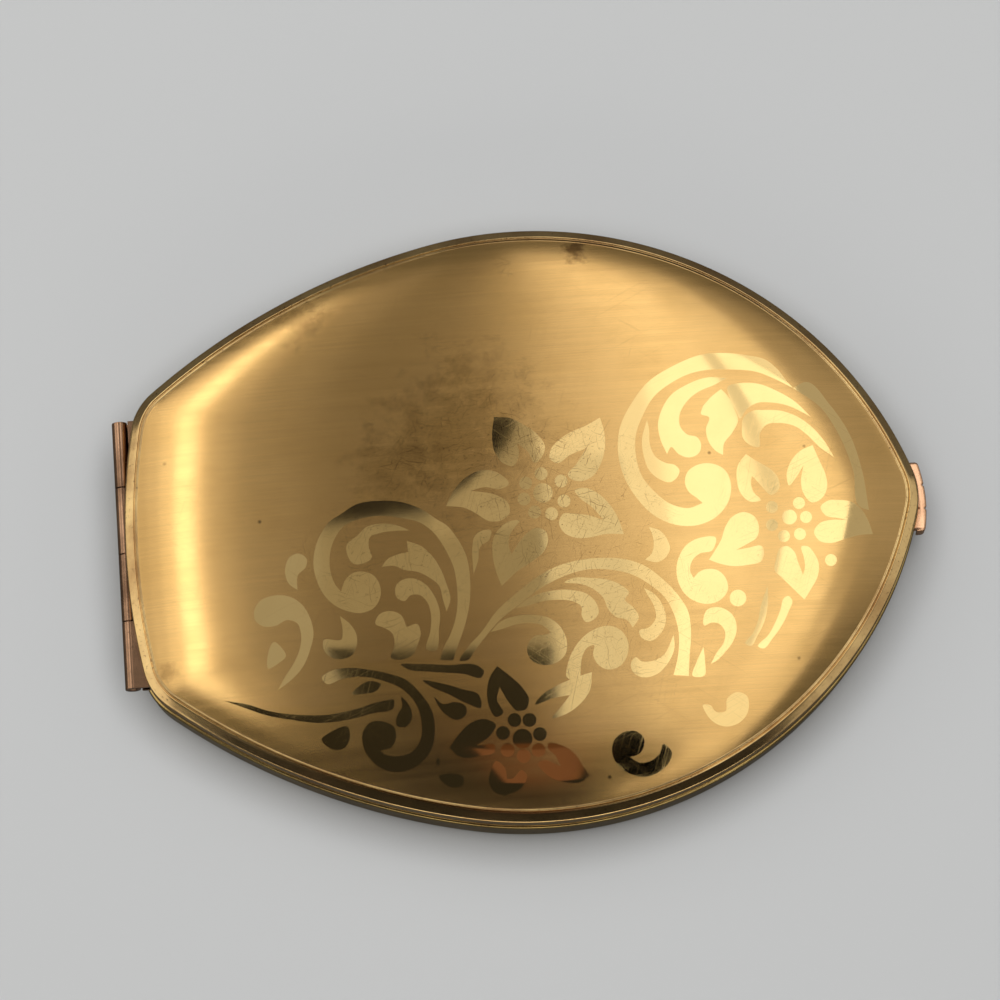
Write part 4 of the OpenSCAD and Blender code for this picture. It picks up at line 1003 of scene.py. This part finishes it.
def thumbPad():
    sections = []
    for y in np.linspace(thumb["width"] / 2, -thumb["width"] / 2, thumb["stations"]):
        x0, x1 = tipEdge(thumb["gap"], y), tipX + thumb["out"] - y * y / (2 * thumb["faceRadius"])
        for g in thumb["grooves"]:
            if abs(y - g) < thumb["groove"]:
                x1 -= sqrt(thumb["groove"] ** 2 - (y - g) ** 2)
        past = max(0, abs(y) - (thumb["width"] / 2 - thumb["endRound"])) / thumb["endRound"]
        draw = thumb["endRound"] * thumb["endDraw"] * (1 - sqrt(max(0, 1 - past ** 2)))
        z0, z1 = thumb["top"] - thumb["height"] + draw, thumb["top"] - draw
        x0, x1 = x0 + draw * thumb["endIn"], x1 - draw * thumb["endOut"]
        inner = tipEdge(thumb["ledgeGap"], y) if abs(y) < thumb["ledgeWidth"] / 2 else x0
        for place, wide, deep in thumb["notches"]:
            if abs(y - place) < wide / 2:
                inner = max(inner, tipEdge(deep, y))
        ledgeZ = thumb["tongueLow"] + thumb["ledgeCorner"]
        ring = []
        for cx, cz, a0, corner in (
                (x1, z1, 0, thumb["corner"]), (inner, z1, 90, thumb["innerCorner"]),
                (inner, ledgeZ, 180, thumb["ledgeCorner"]), (x0, z0, 180, thumb["innerCorner"]),
                (x1, z0, 270, thumb["corner"])):
            ox = cx - corner if cx == x1 else cx + corner
            oz = cz - corner if cz == z1 else cz + corner
            for t in (0, 22.5, 45, 67.5, 90):
                ring.append((ox + corner * cos(radians(a0 + t)), y, oz + corner * sin(radians(a0 + t))))
            if cz == ledgeZ:
                ring.append((x0, y, ledgeZ))
        sections.append(ring)
    middle = [tuple(np.mean(s, axis=0)) for s in (sections[0], sections[-1])]
    points, faces = skinParts(sections, *middle)
    return tidyMesh(makeObject("thumbPiece", points, faces), False)


thumbPiece = thumbPad()
inX = tipX - case["footRadius"]
stem = inX, tipX + (thumb["gap"] + thumb["out"]) / 2, thumb["stemWidth"]
tongue = thumb["tail"], inX, thumb["tongueWidth"]
for low, high, wide in (stem, tongue):
    fuse(thumbPiece, block("tongue", (low, -wide / 2, thumb["tongueLow"]), (high, wide / 2, thumb["tongueTop"])))
r, (z0, z1) = thumb["rivetWidth"] / 2, thumb["drill"]
drill = turned("drill", [(0, z0), (r, z0), (r, z1), (0, z1)], (thumb["rivetX"], 0), 32)
fuse(thumbPiece, drill, "DIFFERENCE")
fit(smoothBy(tidyMesh(thumbPiece), 40), copperPlate, "catch", "copper", "thumb_piece")

refined = {
    "mirrorBezel": ("mirror_bezel", innerBrass, "lid", "bright_brass", 0.08, 3),
    "mirrorGlass": ("mirror_glass", silverGlass, "lid", "mirror", 0.2, 1),
    "mirrorCard": ("mirror_backing", backCard, "lid", "card", 0.03, 1),
    "catchLip": ("lid_catch_lip", innerBrass, "lid", "bright_brass", 0.08, 3),
    "hingePin": ("hinge_pin", copperPlate, "case", "copper", 0.12, 3),
    "deckPlate": ("deck_plate", deckBrass, "case", "bright_brass", 0.08, 3),
    "powderWell": ("powder_well", turnedBrass, "case", "bright_brass", 0.1, 3),
    "sifterFrame": ("sifter_frame", innerBrass, "case", "bright_brass", 0.05, 2),
    "doorBracket": ("door_bracket", hingeBrass, "case", "hinge_brass", 0.05, 2),
    "doorPin": ("door_pin", copperPlate, "case", "copper", 0.06, 2),
    "innerDoor": ("inner_door", turnedBrass, "door", "bright_brass", 0.08, 3),
    "latchHook": ("latch_hook", springSteel, "catch", "steel", 0.1, 3),
    "catchGuide": ("catch_guide", springSteel, "case", "steel", 0.06, 2),
}
for name, (source, look, body, slot, width, segments) in refined.items():
    refine(name, source, look, body, slot, width, segments)
for name in ("door_spring", "catch_spring"):
    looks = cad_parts[name].data.materials
    if not looks:
        looks.append(springSteel)
    for i in range(len(looks)):
        looks[i] = springSteel

print("stage: repeated forms")


# A Geometry Nodes tree with named inputs; gives the tree, its input sockets and its output's socket
def formTree(name, ins):
    tree = bpy.data.node_groups.new(name, "GeometryNodeTree")
    tree.is_modifier = True
    tree.interface.new_socket("Geometry", in_out="INPUT", socket_type="NodeSocketGeometry")
    for label, kind in ins:
        tree.interface.new_socket(label, in_out="INPUT", socket_type=kind)
    tree.interface.new_socket("Geometry", in_out="OUTPUT", socket_type="NodeSocketGeometry")
    return tree, tree.nodes.new("NodeGroupInput").outputs, tree.nodes.new("NodeGroupOutput").inputs[0]


def finishTree(tree, shape, material, end):
    real = out(tree, "GeometryNodeRealizeInstances", {0: shape})
    tree.links.new(out(tree, "GeometryNodeSetMaterial", {"Geometry": real, "Material": material}), end)


# Runs a tree on an object with the given inputs and keeps the result as its mesh
def grow(obj, tree, values):
    made = obj.modifiers.new("form", "NODES")
    made.node_group = tree
    for item in tree.interface.items_tree:
        if item.item_type == "SOCKET" and item.in_out == "INPUT" and item.name in values:
            made[item.identifier] = values[item.name]
    return bake(obj)


# Copies of a form on the points of a mesh
setForms, gi, go = formTree("setForms", [("Form", "NodeSocketObject"), ("Material", "NodeSocketMaterial")])
form = node(setForms, "GeometryNodeObjectInfo", {"Object": gi["Form"]}).outputs["Geometry"]
copies = out(setForms, "GeometryNodeInstanceOnPoints", {"Points": gi["Geometry"], "Instance": form})
finishTree(setForms, copies, gi["Material"], go)

# Copies of a form along a path at an even pitch, each turned along it
alongPath, gi, go = formTree("alongPath", [("Form", "NodeSocketObject"), ("Pitch", "NodeSocketFloat"),
                                           ("Material", "NodeSocketMaterial")])
form = node(alongPath, "GeometryNodeObjectInfo", {"Object": gi["Form"]}).outputs["Geometry"]
path = out(alongPath, "GeometryNodeMeshToCurve", {"Mesh": gi["Geometry"]})
path = out(alongPath, "GeometryNodeResampleCurve", {"Curve": path, "Length": gi["Pitch"]}, mode="LENGTH")
way = out(alongPath, "GeometryNodeInputTangent")
turn = out(alongPath, "FunctionNodeAlignRotationToVector", {"Vector": way}, axis="X")
copies = out(alongPath, "GeometryNodeInstanceOnPoints", {"Points": path, "Instance": form, "Rotation": turn})
finishTree(alongPath, copies, gi["Material"], go)

# A thin disc with a round hole at every point of a mesh
sieve, gi, go = formTree("sieve", [("Radius", "NodeSocketFloat"), ("Depth", "NodeSocketFloat"),
                                   ("Hole", "NodeSocketFloat"), ("Punch", "NodeSocketFloat"),
                                   ("Place", "NodeSocketVector"), ("Material", "NodeSocketMaterial")])
disc = node(sieve, "GeometryNodeMeshCylinder", {"Vertices": 128, "Radius": gi["Radius"], "Depth": gi["Depth"]})
disc = out(sieve, "GeometryNodeTransform", {"Geometry": disc.outputs["Mesh"], "Translation": gi["Place"]})
punch = node(sieve, "GeometryNodeMeshCylinder", {"Vertices": 20, "Radius": gi["Hole"], "Depth": gi["Punch"]})
punches = out(sieve, "GeometryNodeInstanceOnPoints", {"Points": gi["Geometry"], "Instance": punch.outputs["Mesh"]})
punches = out(sieve, "GeometryNodeRealizeInstances", {0: punches})
cut = out(sieve, "GeometryNodeMeshBoolean", {"Mesh 1": disc, "Mesh 2": punches}, operation="DIFFERENCE", solver="EXACT")
finishTree(sieve, cut, gi["Material"], go)

sifter = {"middle": -1.1436, "low": 2.5, "thick": 0.2, "radius": 26.5575, "rows": 4, "hole": 0.65, "punch": 2.0}
spots = [(sifter["middle"], 0.0)]
for k in range(1, sifter["rows"] + 1):
    r = sifter["radius"] * k / (sifter["rows"] + 1)
    spots += [(sifter["middle"] + r * cos(a), r * sin(a)) for a in np.arange(6 * k) * 2 * pi / (6 * k)]
level = sifter["low"] + sifter["thick"] / 2
screen = makeObject("sifterScreen", [(x, y, level) for x, y in spots], [])
grow(screen, sieve, {"Radius": sifter["radius"] * mm, "Depth": sifter["thick"] * mm, "Hole": sifter["hole"] * mm,
                     "Punch": sifter["punch"] * mm, "Place": (sifter["middle"] * mm, 0, level * mm),
                     "Material": springSteel})
fit(smoothBy(screen, 30), springSteel, "case", "steel", "sifter_screen")

rivet = {"shank": 0.5, "head": 0.85, "rise": 0.2}


def rivetForm(z0, z1):
    r, h = rivet["head"], rivet["rise"]
    arch = [(r * sin(a), h * cos(a)) for a in np.linspace(0, pi / 2, 7)]
    profile = [(x, z0 - z) for x, z in arch] + [(rivet["shank"], z0), (rivet["shank"], z1)]
    profile += [(x, z1 + z) for x, z in arch[::-1]]
    return smoothBy(turned("rivetForm", profile, (0, 0), 24), 40)


for name, source, body, count in (("guideRivets", "guide_rivets", "case", 2), ("hookRivet", "hook_rivet", "catch", 1)):
    low, high = [np.array(c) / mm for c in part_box(source)]
    form = rivetForm(low[2] + rivet["rise"], high[2] - rivet["rise"])
    ys = (low[1] + rivet["head"], high[1] - rivet["head"]) if count > 1 else (0.0,)
    obj = makeObject(name, [((low[0] + high[0]) / 2, y, 0) for y in ys], [])
    grow(obj, setForms, {"Form": form, "Material": copperPlate})
    bpy.data.objects.remove(form)
    fit(smoothBy(obj, 40), copperPlate, body, "copper", source)

print("stage: puff")
puff = {
    "middle": (-1.1436, 0.0), "radius": 26.3, "low": 2.76, "high": 5.16, "rings": 26, "spokes": 120, "fill": 0.75,
    "simScale": 20, "frames": 14, "pressure": 3.0, "stiffness": 40, "shrink": -0.03, "seamShare": 0.997, "cap": 0.5,
    "start": 0.72, "crown": 5,
}


# Two discs joined at the seam, their heights following the crown
def puffMesh():
    half = (puff["high"] - puff["low"]) / 2
    rows = []
    for side in (-1, 1):
        for i in range(1, puff["rings"] + 1):
            s = sin(pi / 2 * i / puff["rings"])
            if side > 0 and i == puff["rings"]:
                continue
            swell = half * puff["start"] * (1 - s ** puff["crown"]) ** 0.5
            ring = [(s * cos(a), s * sin(a), side * swell) for a in np.arange(puff["spokes"]) * 2 * pi / puff["spokes"]]
            rows.append((side, i, ring))
    under = [ring for side, i, ring in rows if side < 0]
    over = [ring for side, i, ring in rows if side > 0][::-1]
    points, faces = skinParts(under + over, (0, 0, -half * puff["start"]), (0, 0, half * puff["start"]))
    return np.array([(x * puff["radius"], y * puff["radius"], z) for x, y, z in points]), faces


points, faces = puffMesh()
scale = puff["simScale"]
form = tidyMesh(makeObject("puffForm", points * scale, faces), False)
seam = form.vertex_groups.new(name="seam")
seamReach = puff["radius"] * scale * mm * puff["seamShare"]
rim = [v.index for v in form.data.vertices if hypot(v.co.x, v.co.y) > seamReach]
seam.add(rim, 1.0, "REPLACE")
cloth = form.modifiers.new("cloth", "CLOTH")
cloth.settings.use_pressure, cloth.settings.uniform_pressure_force = True, puff["pressure"]
cloth.settings.effector_weights.gravity = 0
cloth.settings.vertex_group_mass, cloth.settings.pin_stiffness = "seam", 1.0
cloth.settings.tension_stiffness = cloth.settings.compression_stiffness = puff["stiffness"]
cloth.settings.shrink_min = puff["shrink"]
cloth.point_cache.frame_end = puff["frames"]
for f in range(1, puff["frames"] + 1):
    scene.frame_set(f)
graph = bpy.context.evaluated_depsgraph_get()
swollen = form.evaluated_get(graph).to_mesh()
still = readAll(form.data.vertices, "co", 3) / mm / scale
shift = readAll(swollen.vertices, "co", 3) / mm / scale - still
length = np.linalg.norm(shift, axis=1)[:, None]
points = still + shift * np.minimum(1, puff["cap"] / np.maximum(length, 1e-9))
faces = [tuple(p.vertices) for p in form.data.polygons]
bpy.data.objects.remove(form)
scene.frame_set(1)
print("puff moved", float(length.max()))
points[:, 2] *= (puff["high"] - puff["low"]) / (points[:, 2].max() - points[:, 2].min())
reach = np.hypot(points[:, 0], points[:, 1])
points[:, :2] *= np.minimum(1, puff["radius"] / np.maximum(reach, 1e-9))[:, None]
points[:, 2] += (puff["high"] + puff["low"]) / 2 - (points[:, 2].max() + points[:, 2].min()) / 2
points[:, 0] += puff["middle"][0]
powderPuff = tidyMesh(makeObject("powderPuff", points, faces), False)
powderPuff.data.shade_smooth()
fit(powderPuff, velour, "case", "velour", "powder_puff")

ribbon = {"width": 10.0, "length": 42.1, "thick": 0.14, "level": 5.16, "lift": 0.01, "wave": 0.012, "across": 40,
          "along": 120}
stitches = {"half": 0.35, "wide": 0.1, "thick": 0.09, "turn": 1.2, "steps": 10, "pitch": 1.0, "lift": 0.02,
            "inset": 1.0, "long": 2.4, "reach": 4.2}


# The satin band lies on the puff's back, flat at its ends, where the stitches below hold it
def ribbonMesh():
    n, m = ribbon["along"] + 1, ribbon["across"] + 1
    points, faces = [], []
    for side in (1, 0):
        for u in np.arange(n) / ribbon["along"]:
            for v in np.arange(m) / ribbon["across"]:
                weave = ribbon["wave"] * sin(6 * pi * u + 2 * v) * sin(pi * u)
                points.append((puff["middle"][0] + ribbon["length"] * (u - 0.5), ribbon["width"] * (v - 0.5),
                               ribbon["level"] + ribbon["lift"] + weave + side * ribbon["thick"]))

    def at(side, i, j):
        return (1 - side) * n * m + i * m + j

    for i in range(n - 1):
        for j in range(m - 1):
            faces.append((at(1, i, j), at(1, i + 1, j), at(1, i + 1, j + 1), at(1, i, j + 1)))
            faces.append((at(0, i, j), at(0, i, j + 1), at(0, i + 1, j + 1), at(0, i + 1, j)))
    for i in range(n - 1):
        faces += [(at(1, i, 0), at(0, i, 0), at(0, i + 1, 0), at(1, i + 1, 0)),
                  (at(1, i, m - 1), at(1, i + 1, m - 1), at(0, i + 1, m - 1), at(0, i, m - 1))]
    for j in range(m - 1):
        faces += [(at(1, 0, j), at(1, 0, j + 1), at(0, 0, j + 1), at(0, 0, j)),
                  (at(1, n - 1, j), at(0, n - 1, j), at(0, n - 1, j + 1), at(1, n - 1, j + 1))]
    return points, faces


puffRibbon = tidyMesh(makeObject("puffRibbon", *ribbonMesh()), False)
smoothBy(puffRibbon, 40)
fit(puffRibbon, satinRibbon, "case", "ribbon", "puff_ribbon")
h = stitches["thick"]
arch = [(stitches["half"] * cos(a), h * sin(a)) for a in np.linspace(-stitches["turn"], stitches["turn"], 5)]
stitch = turned("stitchForm", [(0, -h)] + arch + [(0, h)], (0, 0), stitches["steps"])
for v in stitch.data.vertices:
    v.co.y *= stitches["wide"] / stitches["half"]
stitch.data.shade_smooth()
path, ties = [], []
top = ribbon["level"] + ribbon["lift"] + ribbon["thick"] + stitches["lift"]
for end in (-1, 1):
    x0 = puff["middle"][0] + end * (ribbon["length"] / 2 - stitches["inset"])
    x1, y, i = x0 - end * stitches["long"], stitches["reach"], len(path)
    path += [(x0, -y, top), (x0, y, top), (x1, y, top), (x1, -y, top)]
    ties += [(i, i + 1), (i + 1, i + 2), (i + 2, i + 3), (i + 3, i)]
mesh = bpy.data.meshes.new("ribbonStitches")
mesh.from_pydata([tuple(c * mm for c in p) for p in path], ties, [])
ribbonStitches = link("ribbonStitches", mesh)
grow(ribbonStitches, alongPath, {"Form": stitch, "Pitch": stitches["pitch"] * mm, "Material": thread})
bpy.data.objects.remove(stitch)
fit(ribbonStitches, thread, "case", "ribbon")

print("stage: floor and light")
ground = {"paintedShadeInMetal": (0.2, 0.198, 0.19, 1), "lit": (0.6, 0.605, 0.61, 1), "seen": (0.768, 0.783, 0.793, 1),
          "seenShare": 0.4, "rough": 0.9, "near": 0.0085, "paintedShadowRange": (0.35, 0.86, 0.05, 1.0), "half": 2000,
          "world": (0.98, 0.99, 1.0, 1), "worldPower": 0.16}
paint, tree, matte = newLook("floorPaint")
matte.inputs["Roughness"].default_value = ground["rough"]
paths = node(tree, "ShaderNodeLightPath").outputs
# Reflections see the floor painted darker: a painted shade for the shadowed floor beside the case, which the metal's
# sides mirror
tree.links.new(mixColour(tree, paths["Is Glossy Ray"], ground["lit"], ground["paintedShadeInMetal"]), matte.inputs["Base Color"])
# The floor's glow to the camera is painted darker near the case by its occlusion: a painted contact shadow
near = node(tree, "ShaderNodeAmbientOcclusion", {"Distance": ground["near"]}, samples=16).outputs["AO"]
glow = ramp(tree, near, *ground["paintedShadowRange"])
pale = out(tree, "ShaderNodeEmission", {"Color": ground["seen"], "Strength": glow})
seen = times(tree, paths["Is Camera Ray"], ground["seenShare"])
shown = out(tree, "ShaderNodeMixShader", {0: seen, 1: matte.outputs[0], 2: pale})
tree.links.new(shown, tree.nodes["Material Output"].inputs[0])
far = ground["half"]
floor = makeObject("floor", [(-far, -far, 0), (far, -far, 0), (far, far, 0), (-far, far, 0)], [(0, 1, 2, 3)])
floor.data.materials.append(paint)
world = bpy.data.worlds.new("studio")
scene.world = world
world.use_nodes = True
sky = world.node_tree.nodes["Background"].inputs
sky[0].default_value, sky[1].default_value = ground["world"], ground["worldPower"]


def rect(x0, x1, y0, y1):
    return [(x0, y0), (x1, y0), (x1, y1), (x0, y1)]


# What the lid mirrors: cards above the camera, each an outline in mm and a colour; a later one hides an earlier one
cardHeight, cardStep = 700, 0.4
cards = {
    "leftWindow": (rect(-362, -272, -160, 1000), (2.6, 2.6, 2.55)),
    "leftPaneOut": (rect(-480, -362, -200, 1000), (1.35, 1.33, 1.28)),
    "leftWall": (rect(-620, -480, -240, 1000), (1.0, 0.98, 0.94)),
    "leftFar": (rect(-900, -620, -300, 1000), (0.85, 0.83, 0.79)),
    "leftJamb": ([(-272, -140), (-236, -90), (-236, 250), (-260, 1000), (-272, 1000)], (1.15, 1.1, 1.05)),
    "leftOut": (rect(-2600, -900, -900, 1100), (1.3, 1.28, 1.22)),
    "rightOut": (rect(900, 2600, -900, 1100), (0.75, 0.74, 0.7)),
    "darkFront": (rect(-900, 900, -1400, -700), (0.03, 0.028, 0.025)),
    "frontOut": (rect(-1500, 1500, -3600, -1400), (2.4, 2.35, 2.2)),
    "leftGlow": ([(-236, -90), (-172, -90), (-172, 250), (-200, 1000), (-260, 1000), (-236, 250)], (0.72, 0.7, 0.66)),
    "leftShade": ([(-172, -50), (-95, -50), (-95, 1000), (-200, 1000), (-172, 250)], (0.42, 0.41, 0.39)),
    "rightWall": (rect(322, 900, -100, 1000), (0.5, 0.49, 0.47)),
    "leftPane": (rect(32, 82, -10, 245), (0.85, 0.84, 0.82)),
    "leftPaneHigh": (rect(32, 82, 245, 412), (1.1, 1.08, 1.06)),
    "midPane": (rect(82, 105, -10, 412), (1.15, 1.14, 1.11)),
    "windowRight": (rect(105, 322, -10, 412), (1.6, 1.6, 1.57)),
    "mullion": (rect(168, 188, -10, 412), (0.9, 0.89, 0.87)),
    "wallAbove": (rect(95, 200, 412, 820), (1.6, 1.58, 1.55)),
    "wallStepE": (rect(75, 95, 412, 820), (1.3, 1.28, 1.24)),
    "wallStepD": (rect(56, 75, 345, 820), (1.05, 1.03, 1.0)),
    "wallStepC": (rect(36, 56, 345, 820), (0.8, 0.78, 0.74)),
    "wallStepB": (rect(16, 36, 300, 820), (0.58, 0.56, 0.52)),
    "wallStepA": (rect(-5, 16, 290, 820), (0.38, 0.365, 0.335)),
    "wallFar": (rect(40, 200, 820, 1150), (0.8, 0.79, 0.77)),
    "wallCorner": (rect(200, 330, 412, 900), (1.1, 1.09, 1.06)),
    "brightRight": (rect(95, 420, -260, -10), (1.15, 1.13, 1.07)),
    "lowRight": (rect(150, 420, -520, -260), (1.1, 1.08, 1.02)),
    "tanPatch": (rect(-95, 30, 98, 203), (0.35, 0.325, 0.28)),
    "greyPatch": (rect(-30, 34, 188, 345), (0.46, 0.43, 0.38)),
    "darkHigh": ([(-95, 238), (-20, 262), (-5, 292), (-5, 1000), (-95, 1000)], (0.26, 0.25, 0.225)),
    "darkAbove": ([(-95, 203), (-42, 206), (-22, 211), (-8, 226), (4, 241), (14, 253), (20, 268), (26, 292), (16, 302),
                   (-6, 292), (-26, 262), (-50, 246), (-95, 238)], (0.02, 0.018, 0.016)),
    "darkBelow": (rect(-95, 30, -700, 98), (0.028, 0.026, 0.023)),
    "darkLeft": ([(-95, 40), (-103, 14), (-140, -24), (-191, -66), (-237, -96), (-271, -104), (-322, -136),
                  (-430, -150), (-430, -700), (-95, -700)], (0.028, 0.026, 0.023)),
    "darkLow": (rect(30, 95, -700, -60), (0.028, 0.026, 0.023)),
    "skinTop": (rect(-30, 45, -100, -38), (0.12, 0.055, 0.03)),
    "skinPatch": (rect(-40, 60, -260, -60), (0.19, 0.095, 0.065)),
    "darkRight": ([(87, -36), (100, -40), (118, -80), (158, -148), (197, -232), (216, -304), (222, -400), (182, -406),
                   (132, -301), (97, -194), (76, -62)], (0.0, 0.0, 0.0)),
}
for i, (name, (corners, colour)) in enumerate(cards.items()):
    z = cardHeight - i * cardStep
    card = makeObject(name, [(x, y, z) for x, y in corners], [tuple(range(len(corners)))[::-1]])
    glow, tree, shader = newLook(name)
    tree.nodes.remove(shader)
    light = out(tree, "ShaderNodeEmission", {"Color": (*colour, 1), "Strength": 1.0})
    tree.links.new(light, tree.nodes["Material Output"].inputs[0])
    card.data.materials.append(glow)
    card.visible_camera = False

keyBox = {"at": (-900, 800, 900), "size": (700, 500), "power": 5}
lampData = bpy.data.lights.new("keyBox", "AREA")
lampData.shape, lampData.size, lampData.size_y = "RECTANGLE", *[d * mm for d in keyBox["size"]]
lampData.energy = keyBox["power"]
lamp = link("keyBox", lampData)
lamp.location = Vector(keyBox["at"]) * mm
lamp.rotation_euler = (-Vector(keyBox["at"])).to_track_quat("-Z", "Y").to_euler()
